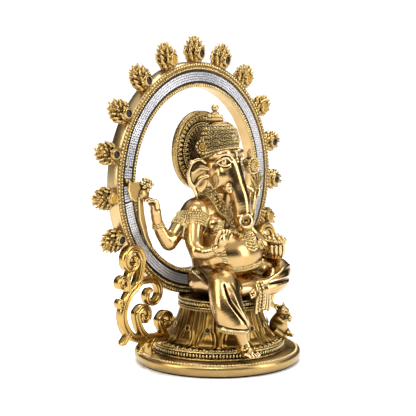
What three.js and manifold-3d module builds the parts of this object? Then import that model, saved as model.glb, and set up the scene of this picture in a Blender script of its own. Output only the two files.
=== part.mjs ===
// Seated four-armed Ganesha in cast brass: lotus throne, ring aureole with flame finials, scroll brackets.
// Millimetres. +Z is up, the figure faces -Y, and "right" and "left" are the figure's own (right is -X).
// The origin is the centre of the foot of the base.
import * as THREE from 'three';
import { mergeVertices } from 'three/addons/utils/BufferGeometryUtils.js';
import Module from 'manifold-3d';

const wasm = await Module();
wasm.setup();

// ---------------------------------------------------------------- driving dimensions
const GAP = 0.3; // clearance between two pieces that touch

const FELT_THICK = 1.2;
const FELT_INSET = 1.6; // from the plate's foot to the felt's edge
const BASE_RADIUS = 71.9; // widest part of the base plate
const BASE_THICK = 9.6;
const BASE_BORE = 50; // open middle of the hollow casting
const DRUM_RADIUS = 58;
const DRUM_HEIGHT = 7.6;
const DRUM_BORE = 38;

const THRONE_Y = -3.5; // the throne stands a little forward of the plate's centre
const THRONE_FOOT_RADIUS = 48.5;
const THRONE_WAIST_RADIUS = 35.5;
const THRONE_HEIGHT = 30.4;
const THRONE_WALL = 5;
const THRONE_TOP = 5; // thickness of the closed top
const PETALS = 13;
const SEAT_RADIUS = 37.2;
const SEAT_THICK = 7.2;

const RING_OUTER = 99.96;
const RING_INNER = RING_OUTER - 21.66;
const RING_FRONT = 21; // Y of the ring's front face
const RING_DEPTH = 12.1;
const RING_SINK = 2.06; // depth the ring is let into the top of the seat
const CHANNEL_INNER = RING_INNER + 4.8;
const CHANNEL_OUTER = RING_OUTER - 7.96;
const CHANNEL_DEPTH = 2.4;
const CRYSTAL_THICK = 2.0;
const CRYSTAL_ARCS = [ // name and the two angles from the top, in degrees, + towards +X
  ['crystal_band_top', -79.5, 92],
  ['crystal_band_chip', -87, -81],
  ['crystal_band_sliver', -98.2, -90],
  ['crystal_band_right', -171, -99],
  ['crystal_band_left', 93, 171],
];

const FINIALS = 13;
const FINIAL_STEP = 18.9; // degrees between two finials
const FINIAL_LENGTH = 23;
const FINIAL_RADIUS = 9.8;
const FINIAL_FLATTEN = 0.73; // depth of a finial over its width
const FINIAL_PIN_RADIUS = 1.5;
const FINIAL_PIN_LENGTH = 5;
const GEM_RISE = 7.2; // from the ring's wall to the centre of a finial's gem cup
const GEM_CUP_RADIUS = 3.5;

const SCROLL_DEPTH = 8.3;
const SCROLL_STEM = 5.8; // width of the main stem
const SCROLL_CURL = 4.4; // width of the side curls

const HALO_RADIUS = 33.9;
const HALO_FRONT = 17.2;
const HALO_THICK = 5.8;
const HALO_RISE = 122.4; // from the top of the seat to the halo's centre

const BOLT_RADIUS = 3;
const BOLT_GRIP = 16; // length of the shank inside the hips
const SCREW_RADIUS = 1.8;
const SCREW_HEAD = 2.7;
const SCREW_HEAD_THICK = 2.4;
const SCREW_GRIP = 7.4; // length of the ring's screw inside the ring

// ---------------------------------------------------------------- heights that follow
const BASE_FOOT = FELT_THICK + GAP;
const BASE_TOP = BASE_FOOT + BASE_THICK;
const DRUM_FOOT = BASE_TOP + GAP;
const DRUM_TOP = DRUM_FOOT + DRUM_HEIGHT;
const THRONE_FOOT = DRUM_TOP + GAP;
const THRONE_CROWN = THRONE_FOOT + THRONE_HEIGHT;
const SEAT_FOOT = THRONE_CROWN + GAP;
const SEAT_TOP = SEAT_FOOT + SEAT_THICK;
const RING_CENTRE = SEAT_TOP + RING_OUTER - RING_SINK;
const RING_BACK = RING_FRONT + RING_DEPTH;
const HALO_CENTRE = SEAT_TOP + HALO_RISE;
const SCROLL_BACK = RING_FRONT - GAP;
const SCROLL_FRONT = SCROLL_BACK - SCROLL_DEPTH;
const DEG = Math.PI / 180;

// ---------------------------------------------------------------- materials
function metal(color, roughness) {
  return new THREE.MeshStandardMaterial({ color, roughness, metalness: 1 });
}
const POLISHED = metal(0xc9a24d, 0.28);
const SATIN = metal(0xb08a3c, 0.42);
const ANTIQUE = metal(0x8f6f31, 0.5);
const STEEL = metal(0x8c8f92, 0.35);
const CRYSTAL = new THREE.MeshStandardMaterial({ color: 0xd9dde3, roughness: 0.15, metalness: 0.4 });
const FELT = new THREE.MeshStandardMaterial({ color: 0x16130f, roughness: 0.95, metalness: 0 });

// ---------------------------------------------------------------- solids
function solid(geometry) {
  geometry.deleteAttribute('normal');
  geometry.deleteAttribute('uv');
  const merged = mergeVertices(geometry, 1e-4);
  return new wasm.Manifold(new wasm.Mesh({
    numProp: 3,
    vertProperties: new Float32Array(merged.attributes.position.array),
    triVerts: new Uint32Array(merged.index.array),
  }));
}

function surface(body) {
  const mesh = body.getMesh();
  const geometry = new THREE.BufferGeometry();
  geometry.setAttribute('position', new THREE.BufferAttribute(mesh.vertProperties, 3));
  geometry.setIndex(new THREE.BufferAttribute(mesh.triVerts, 1));
  geometry.computeVertexNormals();
  return geometry;
}

const union = (bodies) => bodies.reduce((all, body) => all.add(body));
const cut = (body, tools) => tools.reduce((left, tool) => left.subtract(tool), body);
// The biggest of the separate bodies that a cut leaves.
const largest = (body) => body.decompose().sort((a, b) => b.volume() - a.volume())[0];

function box(x0, x1, y0, y1, z0, z1) {
  const geometry = new THREE.BoxGeometry(x1 - x0, y1 - y0, z1 - z0);
  return solid(geometry.translate((x0 + x1) / 2, (y0 + y1) / 2, (z0 + z1) / 2));
}

// A squashed ball, turned about the vertical through its centre when turn is given. A body bigger than
// SMALL has more facets.
const SMALL = 15;
function ovoid([x, y, z], [rx, ry, rz], grow = 0, turn = 0) {
  const sides = Math.max(rx, ry, rz) > SMALL ? 14 : 8;
  const geometry = new THREE.SphereGeometry(1, sides, sides * 0.5 + 1).rotateX(Math.PI / 2);
  geometry.scale(rx + grow, ry + grow, rz + grow).rotateZ(turn * DEG);
  return solid(geometry.translate(x, y, z));
}

// A rod of changing thickness: balls of radius r at the stations [x, y, z, r], and cones between them.
function limb(stations, grow = 0) {
  const thickest = Math.max(...stations.map(([, , , r]) => r));
  const sides = thickest > SMALL ? 12 : 8;
  const bodies = stations.map(([x, y, z, r]) => {
    const ball = new THREE.SphereGeometry(r + grow, sides, sides / 2).rotateX(Math.PI / 2);
    return solid(ball.translate(x, y, z));
  });
  for (let i = 1; i < stations.length; i++) {
    const [x0, y0, z0, r0] = stations[i - 1];
    const [x1, y1, z1, r1] = stations[i];
    const way = new THREE.Vector3(x1 - x0, y1 - y0, z1 - z0);
    const cone = new THREE.CylinderGeometry(r1 + grow, r0 + grow, way.length(), sides);
    const turn = new THREE.Quaternion();
    turn.setFromUnitVectors(new THREE.Vector3(0, 1, 0), way.clone().normalize());
    cone.applyQuaternion(turn).translate((x0 + x1) / 2, (y0 + y1) / 2, (z0 + z1) / 2);
    bodies.push(solid(cone));
  }
  return union(bodies);
}

// A turned body about the vertical through (x, y), from [radius, height] pairs.
function turned(profile, segments = 40, x = 0, y = 0) {
  const points = profile.map(([r, z]) => new THREE.Vector2(r, z));
  const geometry = new THREE.LatheGeometry(points, segments).rotateX(Math.PI / 2);
  return solid(geometry.translate(x, y, 0));
}

// A round bar along Z or Y.
const post = (x, y, z0, z1, r, segments = 16) =>
  turned([[0, z0], [r, z0], [r, z1], [0, z1]], segments, x, y);
const spindle = (x, z, y0, y1, r, segments = 16) => {
  const geometry = new THREE.CylinderGeometry(r, r, y1 - y0, segments);
  return solid(geometry.translate(x, (y0 + y1) / 2, z));
};

// A flat body with the outline [x, z] and its faces at y0 and y1.
function slab(outline, y0, y1) {
  const shape = new THREE.Shape(outline.map(([x, z]) => new THREE.Vector2(x, z)));
  const geometry = new THREE.ExtrudeGeometry(shape, { depth: y1 - y0, bevelEnabled: false });
  return solid(geometry.rotateX(Math.PI / 2).translate(0, y1, 0));
}

// A flat annulus about the Y axis through (0, RING_CENTRE), from angle a to b measured from the top.
function ringSector(inner, outer, y0, y1, a, b, step = 6) {
  const count = Math.max(2, Math.ceil(Math.abs(b - a) / step));
  const angles = Array.from({ length: count + 1 }, (_, i) => (a + ((b - a) * i) / count) * DEG);
  const at = (r) => (t) => [r * Math.sin(t), RING_CENTRE + r * Math.cos(t)];
  return slab([...angles.map(at(outer)), ...angles.reverse().map(at(inner))], y0, y1);
}

function ringBody(inner, outer, y0, y1, segments = 60) {
  const profile = [[inner, y0], [outer, y0], [outer, y1], [inner, y1], [inner, y0]];
  const points = profile.map(([r, y]) => new THREE.Vector2(r, y));
  return solid(new THREE.LatheGeometry(points, segments).translate(0, 0, RING_CENTRE));
}

// ---------------------------------------------------------------- base and throne
function feltRing() {
  const outer = BASE_RADIUS - 2.3 - FELT_INSET;
  return turned([[BASE_BORE, 0], [outer, 0], [outer, FELT_THICK], [BASE_BORE, FELT_THICK], [BASE_BORE, 0]]);
}

function basePlate() {
  const rise = (t) => BASE_FOOT + BASE_THICK * t;
  return turned([[BASE_BORE, rise(0)], [BASE_RADIUS - 2.3, rise(0)], [BASE_RADIUS - 0.9, rise(0.2)],
    [BASE_RADIUS, rise(0.5)], [BASE_RADIUS, rise(0.74)], [BASE_RADIUS - 0.9, rise(0.93)],
    [BASE_RADIUS - 2.1, rise(1)], [BASE_BORE, rise(1)], [BASE_BORE, rise(0)]]);
}

function plinthDrum() {
  const groove = 0.8;
  const rise = (t) => DRUM_FOOT + DRUM_HEIGHT * t;
  return turned([[DRUM_BORE, rise(0)], [DRUM_RADIUS, rise(0)], [DRUM_RADIUS, rise(0.18)],
    [DRUM_RADIUS - groove, rise(0.24)], [DRUM_RADIUS - groove, rise(0.76)], [DRUM_RADIUS, rise(0.82)],
    [DRUM_RADIUS, rise(1)], [DRUM_BORE, rise(1)], [DRUM_BORE, rise(0)]]);
}

// Radius of the bell of the throne at the height t, from 0 at its foot to 1 at its top.
const bell = (t) => THRONE_WAIST_RADIUS + (THRONE_FOOT_RADIUS - THRONE_WAIST_RADIUS) * (1 - t) ** 1.5;

function throneOutside(grow = 0) {
  const steps = 5;
  const wall = Array.from({ length: steps + 1 }, (_, i) => i / steps)
    .map((t) => [bell(t) + grow, THRONE_FOOT + THRONE_HEIGHT * t]);
  return turned([[0, THRONE_FOOT], ...wall, [0, THRONE_CROWN]], 40, 0, THRONE_Y);
}

function throneHollow() {
  const steps = 3;
  const roof = THRONE_CROWN - THRONE_TOP;
  const wall = Array.from({ length: steps + 1 }, (_, i) => i / steps)
    .map((t) => [bell(t) - THRONE_WALL, THRONE_FOOT + (roof - THRONE_FOOT) * t]);
  return turned([[0, THRONE_FOOT - 1], [wall[0][0], THRONE_FOOT - 1], ...wall, [0, roof]], 40, 0, THRONE_Y);
}

// One petal of the bell: a tall rib that leans with the wall, rounded at both ends.
function throneRib(k) {
  const geometry = new THREE.SphereGeometry(1, 6, 5).rotateX(Math.PI / 2);
  const lean = Math.atan2(bell(0.2) - bell(0.8), THRONE_HEIGHT * 0.6);
  geometry.scale(2.6, 4.2, THRONE_HEIGHT * 0.46).rotateY(-lean);
  geometry.translate(bell(0.5) - 0.6, 0, THRONE_FOOT + THRONE_HEIGHT * 0.5);
  return solid(geometry.rotateZ(((k + 0.5) * 2 * Math.PI) / PETALS).translate(0, THRONE_Y, 0));
}

function lotusThrone() {
  const ribs = Array.from({ length: PETALS }, (_, k) => throneRib(k));
  const shell = cut(union([throneOutside(), ...ribs]), [throneHollow()]);
  return cut(shell, [boltHole(), screwHole(), screwPocket()]);
}

function seatSlab() {
  const lip = 0.9;
  const rise = (t) => SEAT_FOOT + SEAT_THICK * t;
  const disc = turned([[0, rise(0)], [SEAT_RADIUS - lip, rise(0)], [SEAT_RADIUS, rise(0.25)],
    [SEAT_RADIUS - lip, rise(0.5)], [SEAT_RADIUS, rise(0.75)], [SEAT_RADIUS - lip, rise(1)], [0, rise(1)]],
  40, 0, THRONE_Y);
  const saddle = ringBody(RING_INNER, RING_OUTER + GAP, RING_FRONT - GAP, RING_BACK + GAP);
  return cut(disc, [boltHole(), screwHole(), saddle]);
}

// ---------------------------------------------------------------- fastenings inside the hollow
const ROOF = THRONE_CROWN - THRONE_TOP;
const boltShank = (r) => post(0, 0, ROOF - 5, SEAT_TOP + BOLT_GRIP + (r - BOLT_RADIUS), r);
const boltHole = () => boltShank(BOLT_RADIUS + GAP);
const SCREW_Y = RING_FRONT + 2.6;
const SCREW_TOP = RING_CENTRE - RING_OUTER + SCREW_GRIP;
const screwShank = (r) => post(0, SCREW_Y, ROOF - 5, SCREW_TOP + (r - SCREW_RADIUS), r, 12);
const screwHole = () => screwShank(SCREW_RADIUS + GAP);

// Room for the screw's head under the roof, where the wall would stand in its way.
const screwPocket = () => post(0, SCREW_Y, ROOF - 2 * GAP - SCREW_HEAD_THICK, ROOF, SCREW_HEAD + GAP, 12);

function boltWasher() {
  const z = ROOF - GAP;
  return turned([[BOLT_RADIUS + GAP, z - 1.6], [9, z - 1.6], [9, z], [BOLT_RADIUS + GAP, z],
    [BOLT_RADIUS + GAP, z - 1.6]], 24);
}

function throneBolt() {
  const under = ROOF - 1.6 - 2 * GAP;
  const head = post(0, 0, under - 4.5, under, 5.6, 6);
  return union([head, post(0, 0, under - 1, SEAT_TOP + BOLT_GRIP, BOLT_RADIUS)]);
}

function ringScrew() {
  const under = ROOF - GAP;
  const head = post(0, SCREW_Y, under - SCREW_HEAD_THICK, under, SCREW_HEAD, 12);
  return union([head, post(0, SCREW_Y, under - 1, SCREW_TOP, SCREW_RADIUS, 12)]);
}

// ---------------------------------------------------------------- aureole
const finialAngle = (k) => (k - (FINIALS - 1) / 2) * FINIAL_STEP;
const FINIAL_Y = RING_FRONT + 5.2;

// Places a body built upright on the Z axis on the ring's outer wall at angle a from the top.
function onRing(body, a) {
  const turn = new THREE.Matrix4().makeRotationY(a * DEG);
  const move = new THREE.Matrix4().makeTranslation(0, FINIAL_Y, RING_CENTRE);
  return body.transform(move.multiply(turn).toArray());
}

function finialPin(grow) {
  return post(0, 0, RING_OUTER - FINIAL_PIN_LENGTH - grow, RING_OUTER + 2, FINIAL_PIN_RADIUS + grow, 6);
}

function finial(k) {
  const foot = RING_OUTER + GAP;
  const rise = (t) => foot + FINIAL_LENGTH * t;
  const wide = (t) => FINIAL_RADIUS * t;
  const cone = turned([[0, rise(0)], [3.6, rise(0)], [wide(0.86), rise(0.2)], [wide(1), rise(0.38)],
    [wide(0.84), rise(0.6)], [wide(0.5), rise(0.82)], [0, rise(1)]], 8);
  const flat = cone.scale([1, FINIAL_FLATTEN, 1]);
  const face = -FINIAL_RADIUS * FINIAL_FLATTEN - 0.8;
  const cup = spindle(0, RING_OUTER + GEM_RISE, face, 0, GEM_CUP_RADIUS, 8);
  const well = spindle(0, RING_OUTER + GEM_RISE, face - 1, face + 1.2, GEM_CUP_RADIUS - 1, 8);
  const body = cut(union([flat, cup, finialPin(0)]), [well]);
  return onRing(body, finialAngle(k));
}

function aureoleFrame() {
  const floor = RING_FRONT + CHANNEL_DEPTH;
  const ring = ringBody(RING_INNER, RING_OUTER, RING_FRONT, RING_BACK);
  const channel = ringBody(CHANNEL_INNER, CHANNEL_OUTER, RING_FRONT - 1, floor);
  const pinHoles = Array.from({ length: FINIALS }, (_, k) => onRing(finialPin(GAP), finialAngle(k)));
  return cut(ring, [channel, ...pinHoles, screwHole()]);
}

function crystalBand(a, b) {
  const back = RING_FRONT + CHANNEL_DEPTH - GAP;
  return ringSector(CHANNEL_INNER + GAP, CHANNEL_OUTER - GAP, back - CRYSTAL_THICK, back, a, b);
}

// ---------------------------------------------------------------- scroll brackets
// Points of a spiral about (cx, cz) from radius r0 at angle a0 to radius r1 at angle a1.
function volute(cx, cz, r0, r1, a0, a1) {
  const steps = Math.ceil(Math.abs(a1 - a0) / 50);
  return Array.from({ length: steps + 1 }, (_, i) => {
    const t = i / steps;
    const angle = (a0 + (a1 - a0) * t) * DEG;
    const r = r0 + (r1 - r0) * t;
    return [cx + r * Math.cos(angle), cz + r * Math.sin(angle)];
  });
}

// A flat strap of the given width along the points [x, z], with rounded ends.
function strap(points, width) {
  const knots = points.map(([x, z]) => new THREE.Vector3(x * SCROLL_UNIT, 0, z));
  const curve = new THREE.CatmullRomCurve3(knots, false, 'centripetal');
  const count = Math.ceil(points.length * 1.6);
  const sides = [[], []];
  for (let i = 0; i <= count; i++) {
    const p = curve.getPoint(i / count);
    const way = curve.getTangent(i / count);
    sides[0].push([p.x - (way.z * width) / 2, p.z + (way.x * width) / 2]);
    sides[1].push([p.x + (way.z * width) / 2, p.z - (way.x * width) / 2]);
  }
  const [end] = points.slice(-1);
  const body = slab([...sides[0], ...sides[1].reverse()], SCROLL_FRONT, SCROLL_BACK);
  return union([body, spindle(end[0] * SCROLL_UNIT, end[1], SCROLL_FRONT, SCROLL_BACK, width * 0.75, 8)]);
}

// The bracket on the +X side; mirrored for the other. Its foot stands on the base plate and its inner
// end meets the throne above the drum. X is drawn in units of which the plate's radius has 72.
const SCROLL_UNIT = BASE_RADIUS / 72;

function scroll(side) {
  const z = BASE_TOP + GAP;
  const inner = (THRONE_FOOT_RADIUS - 12) / SCROLL_UNIT;
  const stem = [...volute(89.5, z + 83.6, 5.5, 11.5, -90, 190), [83, z + 64], [93, z + 56], [100, z + 44],
    [99, z + 32], [91, z + 21.5], [78, z + 17], [62, z + 15], [inner, z + 14.5]].reverse();
  const middle = [[88, z + 59], [80, z + 65], ...volute(67, z + 53, 12.5, 5, 75, 400)];
  const lower = [[72, z + 17], [80, z + 25], ...volute(76, z + 36, 8.8, 3, 10, 330)];
  const near = [[46, z + 15], [54, z + 22], ...volute(49, z + 27, 8.6, 3, 8, 330)];
  const knob = [[94, z + 58], ...volute(101, z + 66, 5.6, 3.5, 170, -40)];
  const bead = [[99, z + 47], [104, z + 50]];
  const toe = [[62, z + 15], [72, z + 14], [78, z + 9.5], [80, z + 5]];
  const foot = [[66, z + 15], [68.5, z + 8], [66, z + 1.5]];
  const tail = [[93, z + 24], [97, z + 20], [100, z + 16]];
  const thin = [middle, lower, near, knob, bead, toe, foot, tail].map((path) => strap(path, SCROLL_CURL));
  const body = union([strap(stem, SCROLL_STEM), ...thin]);
  const ground = box(0, BASE_RADIUS * 2, -BASE_RADIUS, BASE_RADIUS, -1, z);
  const cleared = cut(body, [throneClear(), ground]);
  return side < 0 ? cleared.mirror([1, 0, 0]) : cleared;
}

const throneClear = () => turned([[0, THRONE_FOOT - 5], [THRONE_FOOT_RADIUS + 3.5, THRONE_FOOT - 5],
  [THRONE_FOOT_RADIUS + 3.5, THRONE_FOOT + 6], [bell(0.6) + 4, THRONE_FOOT + THRONE_HEIGHT * 0.6],
  [bell(1) + 4, THRONE_CROWN], [0, THRONE_CROWN]], 40, 0, THRONE_Y);

// ---------------------------------------------------------------- figure: heights above the seat
const up = (z) => SEAT_TOP + z;
const SEAT_CLEAR = () => box(-80, 80, -80, 80, 0, SEAT_TOP + GAP);
const RING_CLEAR = () => ringBody(RING_INNER - GAP, RING_OUTER + GAP, RING_FRONT - GAP, RING_BACK + GAP);

const BELLY = [0, -13.5, up(36.5)];
const BELLY_SIZE = [32.5, 27, 22];
const SHOULDER_X = 22;

function torsoForm(grow = 0) {
  return union([
    ovoid(BELLY, BELLY_SIZE, grow),
    ovoid([0, 5, up(67)], [29, 15.6, 22], grow),
    ovoid([0, -3, up(14)], [35, 22, 16], grow),
    ovoid([0, 0, up(40)], [30, 20, 26], grow),
    limb([[-SHOULDER_X, 4, up(73), 12], [SHOULDER_X, 4, up(73), 12]], grow),
    limb([[0, 3, up(78), 13], [0, -3, up(92), 11]], grow),
  ]);
}

function torso() {
  return cut(torsoForm(), [SEAT_CLEAR(), boltHole(), RING_CLEAR(), headForm(GAP)]);
}

// A band that follows the torso: the skin between two offsets, inside a region.
function bandOn(region, thick) {
  return cut(torsoForm(GAP + thick).intersect(region), [torsoForm(GAP)]);
}

// A flat region of the given thickness through the centre, leaning forward by lean degrees.
function leaningSlab([x, y, z], thick, lean, wide = 90) {
  const geometry = new THREE.BoxGeometry(wide, 160, thick).rotateX(lean * DEG);
  return solid(geometry.translate(x, y, z));
}

function necklace() {
  const region = leaningSlab([0, -10, up(71)], 7, 45, 50).intersect(box(-24, 24, -16, 7, up(55), up(92)));
  const others = [headForm(GAP), earForm(-1, GAP), earForm(1, GAP), ...armFronts()];
  return largest(cut(bandOn(region, 1.8), others));
}

function bellyChain() {
  const region = leaningSlab([0, -37, up(47)], 4.5, 16).intersect(box(-27, 27, -80, -16, up(30), up(70)));
  return cut(bandOn(region, 1.4), [headForm(GAP), ...handsAndLegs()]);
}

function waistBelt() {
  const region = leaningSlab([0, -34, up(22)], 5.5, 6).intersect(box(-24, 24, -80, -18, up(8), up(40)));
  return cut(bandOn(region, 2), [...handsAndLegs()]);
}

function medallion() {
  const [x, y, z] = [-3, BELLY[1] - BELLY_SIZE[1] + 2, up(41)];
  const plate = ovoid([x, y, z], [5, 3.4, 5.5]);
  return cut(plate, [torsoForm(GAP), bandClear(bellyChain)]);
}

// What a thin band takes up, with the clearance, for a piece that lies against it.
const bandClear = (band) => band().add(band().translate(0, -GAP, 0)).add(band().translate(0, 0, -GAP));

// ---------------------------------------------------------------- head
const TRUNK = [[0, -15, up(109), 9.2], [0, -19.5, up(95), 8.4], [0, -25.5, up(80), 8],
  [-0.5, -28, up(67), 7], [-1.8, -31.5, up(61.6), 5.8], [-3, -33.6, up(65), 5.2]];

function headForm(grow = 0) {
  return union([
    ovoid([0, -6, up(109)], [18.5, 16, 19], grow),
    ovoid([0, -9, up(98)], [15, 13, 12], grow),
    limb(TRUNK, grow),
  ]);
}

function head() {
  const [tip] = TRUNK.slice(-1);
  const nostril = limb([[tip[0], tip[1] - 0.5, tip[2] + 1.5, 2.6], [tip[0], tip[1] - 1.5, tip[2] + 7, 2.8]]);
  return cut(headForm(), [crownForm(GAP), haloForm(GAP), nostril]);
}

function earForm(side, grow = 0) {
  const flap = ovoid([side * 24, 2.5, up(103)], [10.5, 3.2, 16.5], grow, side * 38);
  return flap.add(limb([[side * 27, 4, up(92), 3], [side * 26, 3, up(86), 2.2]], grow));
}

const ear = (side) => cut(earForm(side), [headForm(GAP), torsoForm(GAP), haloForm(GAP), crownForm(GAP)]);

const tuskForm = (side, length, grow = 0) => {
  const start = [side * 8, -13, up(93), 3 + grow];
  return limb([start, [side * 9, -13 - length, up(92.5 - length * 0.4), 2.2 + grow]]);
};
const tusk = (side, length) => cut(tuskForm(side, length), [headForm(GAP)]);

// ---------------------------------------------------------------- crown and halo
const CROWN_Y = -2;
const CROWN_FOOT = up(123.4);
const CROWN_TOP = CROWN_FOOT + 24;
const KNOB_Y = 3; // the knob leans back against the halo

function crownForm(grow = 0) {
  const top = CROWN_TOP + grow;
  const wall = [[14.8, -grow], [15.4, 5], [14.6, 12], [13, 18]].map(([r, z]) => [r + grow, CROWN_FOOT + z]);
  return turned([[0, CROWN_FOOT - grow], ...wall, [9.4 + grow, top], [0, top]], 32, 0, CROWN_Y);
}

const crown = () => cut(crownForm(), [haloForm(GAP)]);

function crownKnob() {
  const z = CROWN_TOP + GAP;
  const stack = turned([[0, z], [6.6, z], [7.8, z + 0.8], [7.8, z + 2.6], [4.2, z + 3.4], [4.2, z + 4],
    [6.8, z + 7.6], [5.4, z + 8], [1.6, z + 8.4], [1.6, z + 9], [0, z + 9]], 16, 0, KNOB_Y);
  return cut(union([stack, ovoid([0, KNOB_Y, z + 11.2], [3.2, 3.2, 3.2])]), [haloForm(GAP)]);
}

function haloForm(grow = 0) {
  const disc = new THREE.CylinderGeometry(HALO_RADIUS + grow, HALO_RADIUS + grow, HALO_THICK + 2 * grow, 40);
  const plate = solid(disc.translate(0, HALO_FRONT + HALO_THICK / 2, HALO_CENTRE));
  return plate.add(spindle(0, up(110), 4 - grow, HALO_FRONT + 1, 6 + grow));
}

function haloDisc() {
  const floor = HALO_FRONT + 1.2;
  const dish = spindle(0, HALO_CENTRE, HALO_FRONT - 1, floor, HALO_RADIUS - 5, 40);
  const hub = spindle(0, HALO_CENTRE, HALO_FRONT - 2, floor + 1, HALO_RADIUS - 13, 32);
  const neck = spindle(0, up(110), 0, floor + 1, 6);
  return cut(haloForm(), [dish.subtract(hub).subtract(neck)]);
}

// ---------------------------------------------------------------- arms
const mirrored = (side, stations) => stations.map(([x, y, z, r]) => [side * x, y, z, r]);

const UPPER_FRONT = [[28, 2, up(69.5), 8.6], [39, -7, up(48), 7.8]];
const FOREARM_RIGHT = [[39.5, -17.5, up(41), 6.4], [37, -24, up(43), 5.2], [36, -31, up(46), 4.4]];
const PALM_RIGHT = [35.5, -34, up(54.5)];
const FOREARM_LEFT = [[41, -16, up(39), 6.2], [39, -24, up(35.5), 5.4]];
const PALM_LEFT = [36.5, -33, up(33)];

function armFrontForm(side, grow = 0) {
  const fore = side < 0 ? FOREARM_RIGHT : FOREARM_LEFT;
  const [x, y, z] = side < 0 ? PALM_RIGHT : PALM_LEFT;
  const palm = side < 0 ? [6.8, 3.6, 13.5] : [9, 11.5, 6];
  return union([limb(mirrored(side, [...UPPER_FRONT, ...fore]), grow), ovoid([side * x, y, z], palm, grow)]);
}

function armFront(side) {
  const others = side < 0 ? [] : [bowlForm(GAP), legFoldedForm(GAP)];
  return cut(armFrontForm(side), [torsoForm(GAP), ...others]);
}

const REAR_ARM = [[28, 8, up(70), 8], [50, 10, up(48.5), 6.8], [62, 13, up(65), 5]];
const REAR_HAND = [66.5, 13, up(79)];

function armRearForm(side, grow = 0) {
  const [x, y, z] = REAR_HAND;
  return union([limb(mirrored(side, REAR_ARM), grow), ovoid([side * x, y, z], [6.4, 5, 11.5], grow)]);
}

function armRear(side) {
  const held = side < 0 ? axeForm(GAP) : lotusForm(GAP);
  return cut(armRearForm(side), [torsoForm(GAP), armFrontForm(side, GAP), held, RING_CLEAR()]);
}

// ---------------------------------------------------------------- what the hands hold
// The axe: a flat handle behind the right rear hand, a crescent blade outward and a crest on top.
function axeForm(grow = 0) {
  const y0 = RING_FRONT - 4.4 - grow;
  const y1 = RING_FRONT - 1.2 + grow;
  const blade = [[-74, up(85)], [-82, up(84.5)], [-88, up(88)], [-91, up(95.5)], [-88.5, up(103)],
    [-80, up(101)], [-73, up(97)]];
  const handle = [[-84, up(87)], [-73.5, up(87)], [-72.5, up(74)], [-68, up(56)], [-62, up(47)],
    [-66, up(45.5)], [-72, up(54)], [-79, up(70)]];
  const crest = [[-81, up(93)], [-64, up(88)], [-62, up(93)], [-66, up(101)], [-75, up(105)], [-80, up(103)]];
  const body = union([slab(blade, y0, y1), slab(handle, y0, y1), slab(crest, y0, y1)]);
  return grow > 0 ? swell(body, grow) : body;
}

// Grows a body sideways in X and Z by small shifts, for a clearance cut.
function swell(body, grow) {
  const shifts = [[grow, 0], [-grow, 0], [0, grow], [0, -grow]];
  return union([body, ...shifts.map(([x, z]) => body.translate(x, 0, z))]);
}

const axe = () => cut(axeForm(), [RING_CLEAR()]);

function lotusForm(grow = 0) {
  const stem = limb([[66, 11, up(84), 2], [62, 10, up(95), 2], [58, 10.5, up(103), 2.4]], grow);
  const bloom = spindle(57, up(106), 7 - grow, 14 + grow, 8.2 + grow, 16);
  return union([stem, bloom]);
}

function lotusEmblem() {
  const scoop = ovoid([57, 7, up(106)], [3.4, 1.6, 3.4]);
  return cut(lotusForm(), [scoop, RING_CLEAR()]);
}

const BOWL = [39, -33.5, up(38.6)];
function bowlForm(grow = 0) {
  const [x, y, z] = BOWL;
  return turned([[0, z - grow], [5 + grow, z - grow], [8.2 + grow, z + 2.5], [9.2 + grow, z + 6.4 + grow],
    [0, z + 6.4 + grow]], 16, x, y);
}

function sweetBowl() {
  const [x, y, z] = BOWL;
  const ring = Array.from({ length: 5 }, (_, k) => {
    const t = (k * 2 * Math.PI) / 5;
    return ovoid([x + 5.4 * Math.cos(t), y + 5.4 * Math.sin(t), z + 7.4], [3.2, 3.2, 3]);
  });
  return cut(union([bowlForm(), ...ring, ovoid([x, y, z + 9.4], [4, 4, 3.8])]), [torsoForm(GAP)]);
}

// ---------------------------------------------------------------- legs and cloth
function legPendantForm(grow = 0) {
  return union([
    limb([[-21, -4, up(15), 14.6], [-28, -30, up(15), 13], [-33, -39, up(-4), 13], [-31, -46, up(-17), 11.5],
      [-28, -48, up(-26), 8.6]], grow),
    limb([[-28, -49, up(-32), 6], [-29, -60.5, up(-39), 4]], grow),
  ]);
}

function legPendant() {
  const side = DRUM_RADIUS + GAP;
  const below = turned([[0, 0], [BASE_RADIUS, 0], [BASE_RADIUS, BASE_TOP + GAP], [side, BASE_TOP + GAP],
    [side, DRUM_TOP + GAP], [0, DRUM_TOP + GAP]]);
  return cut(legPendantForm(), [seatClear(SEAT_FOOT - GAP), below, throneOutside(3), torsoForm(GAP)]);
}

// What the seat takes up, with the clearance, from the height z0.
const seatClear = (z0) => turned([[0, z0], [SEAT_RADIUS + GAP, z0], [SEAT_RADIUS + GAP, SEAT_TOP + GAP],
  [0, SEAT_TOP + GAP]], 40, 0, THRONE_Y);

function legFoldedForm(grow = 0) {
  return union([
    limb([[22, -6, up(15), 14.4], [43, -31, up(15), 13.6], [24, -42, up(9.6), 9.6],
      [8, -42, up(7.6), 7.4]], grow),
    ovoid([-3, -40, up(6.5)], [9, 5.4, 5.4], grow),
  ]);
}

function legFolded() {
  return cut(legFoldedForm(), [SEAT_CLEAR(), torsoForm(GAP), legPendantForm(GAP)]);
}

function frontPleats() {
  const fall = limb([[1, -41.5, up(3), 5], [3, -43, up(-19), 3.2]]);
  const others = [torsoForm(GAP), legFoldedForm(GAP), legPendantForm(GAP)];
  return cut(fall, [seatClear(THRONE_FOOT), throneOutside(3), ...others]);
}

const armFronts = () => [armFrontForm(-1, GAP), armFrontForm(1, GAP)];
const handsAndLegs = () => [...armFronts(), legPendantForm(GAP), legFoldedForm(GAP)];

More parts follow.
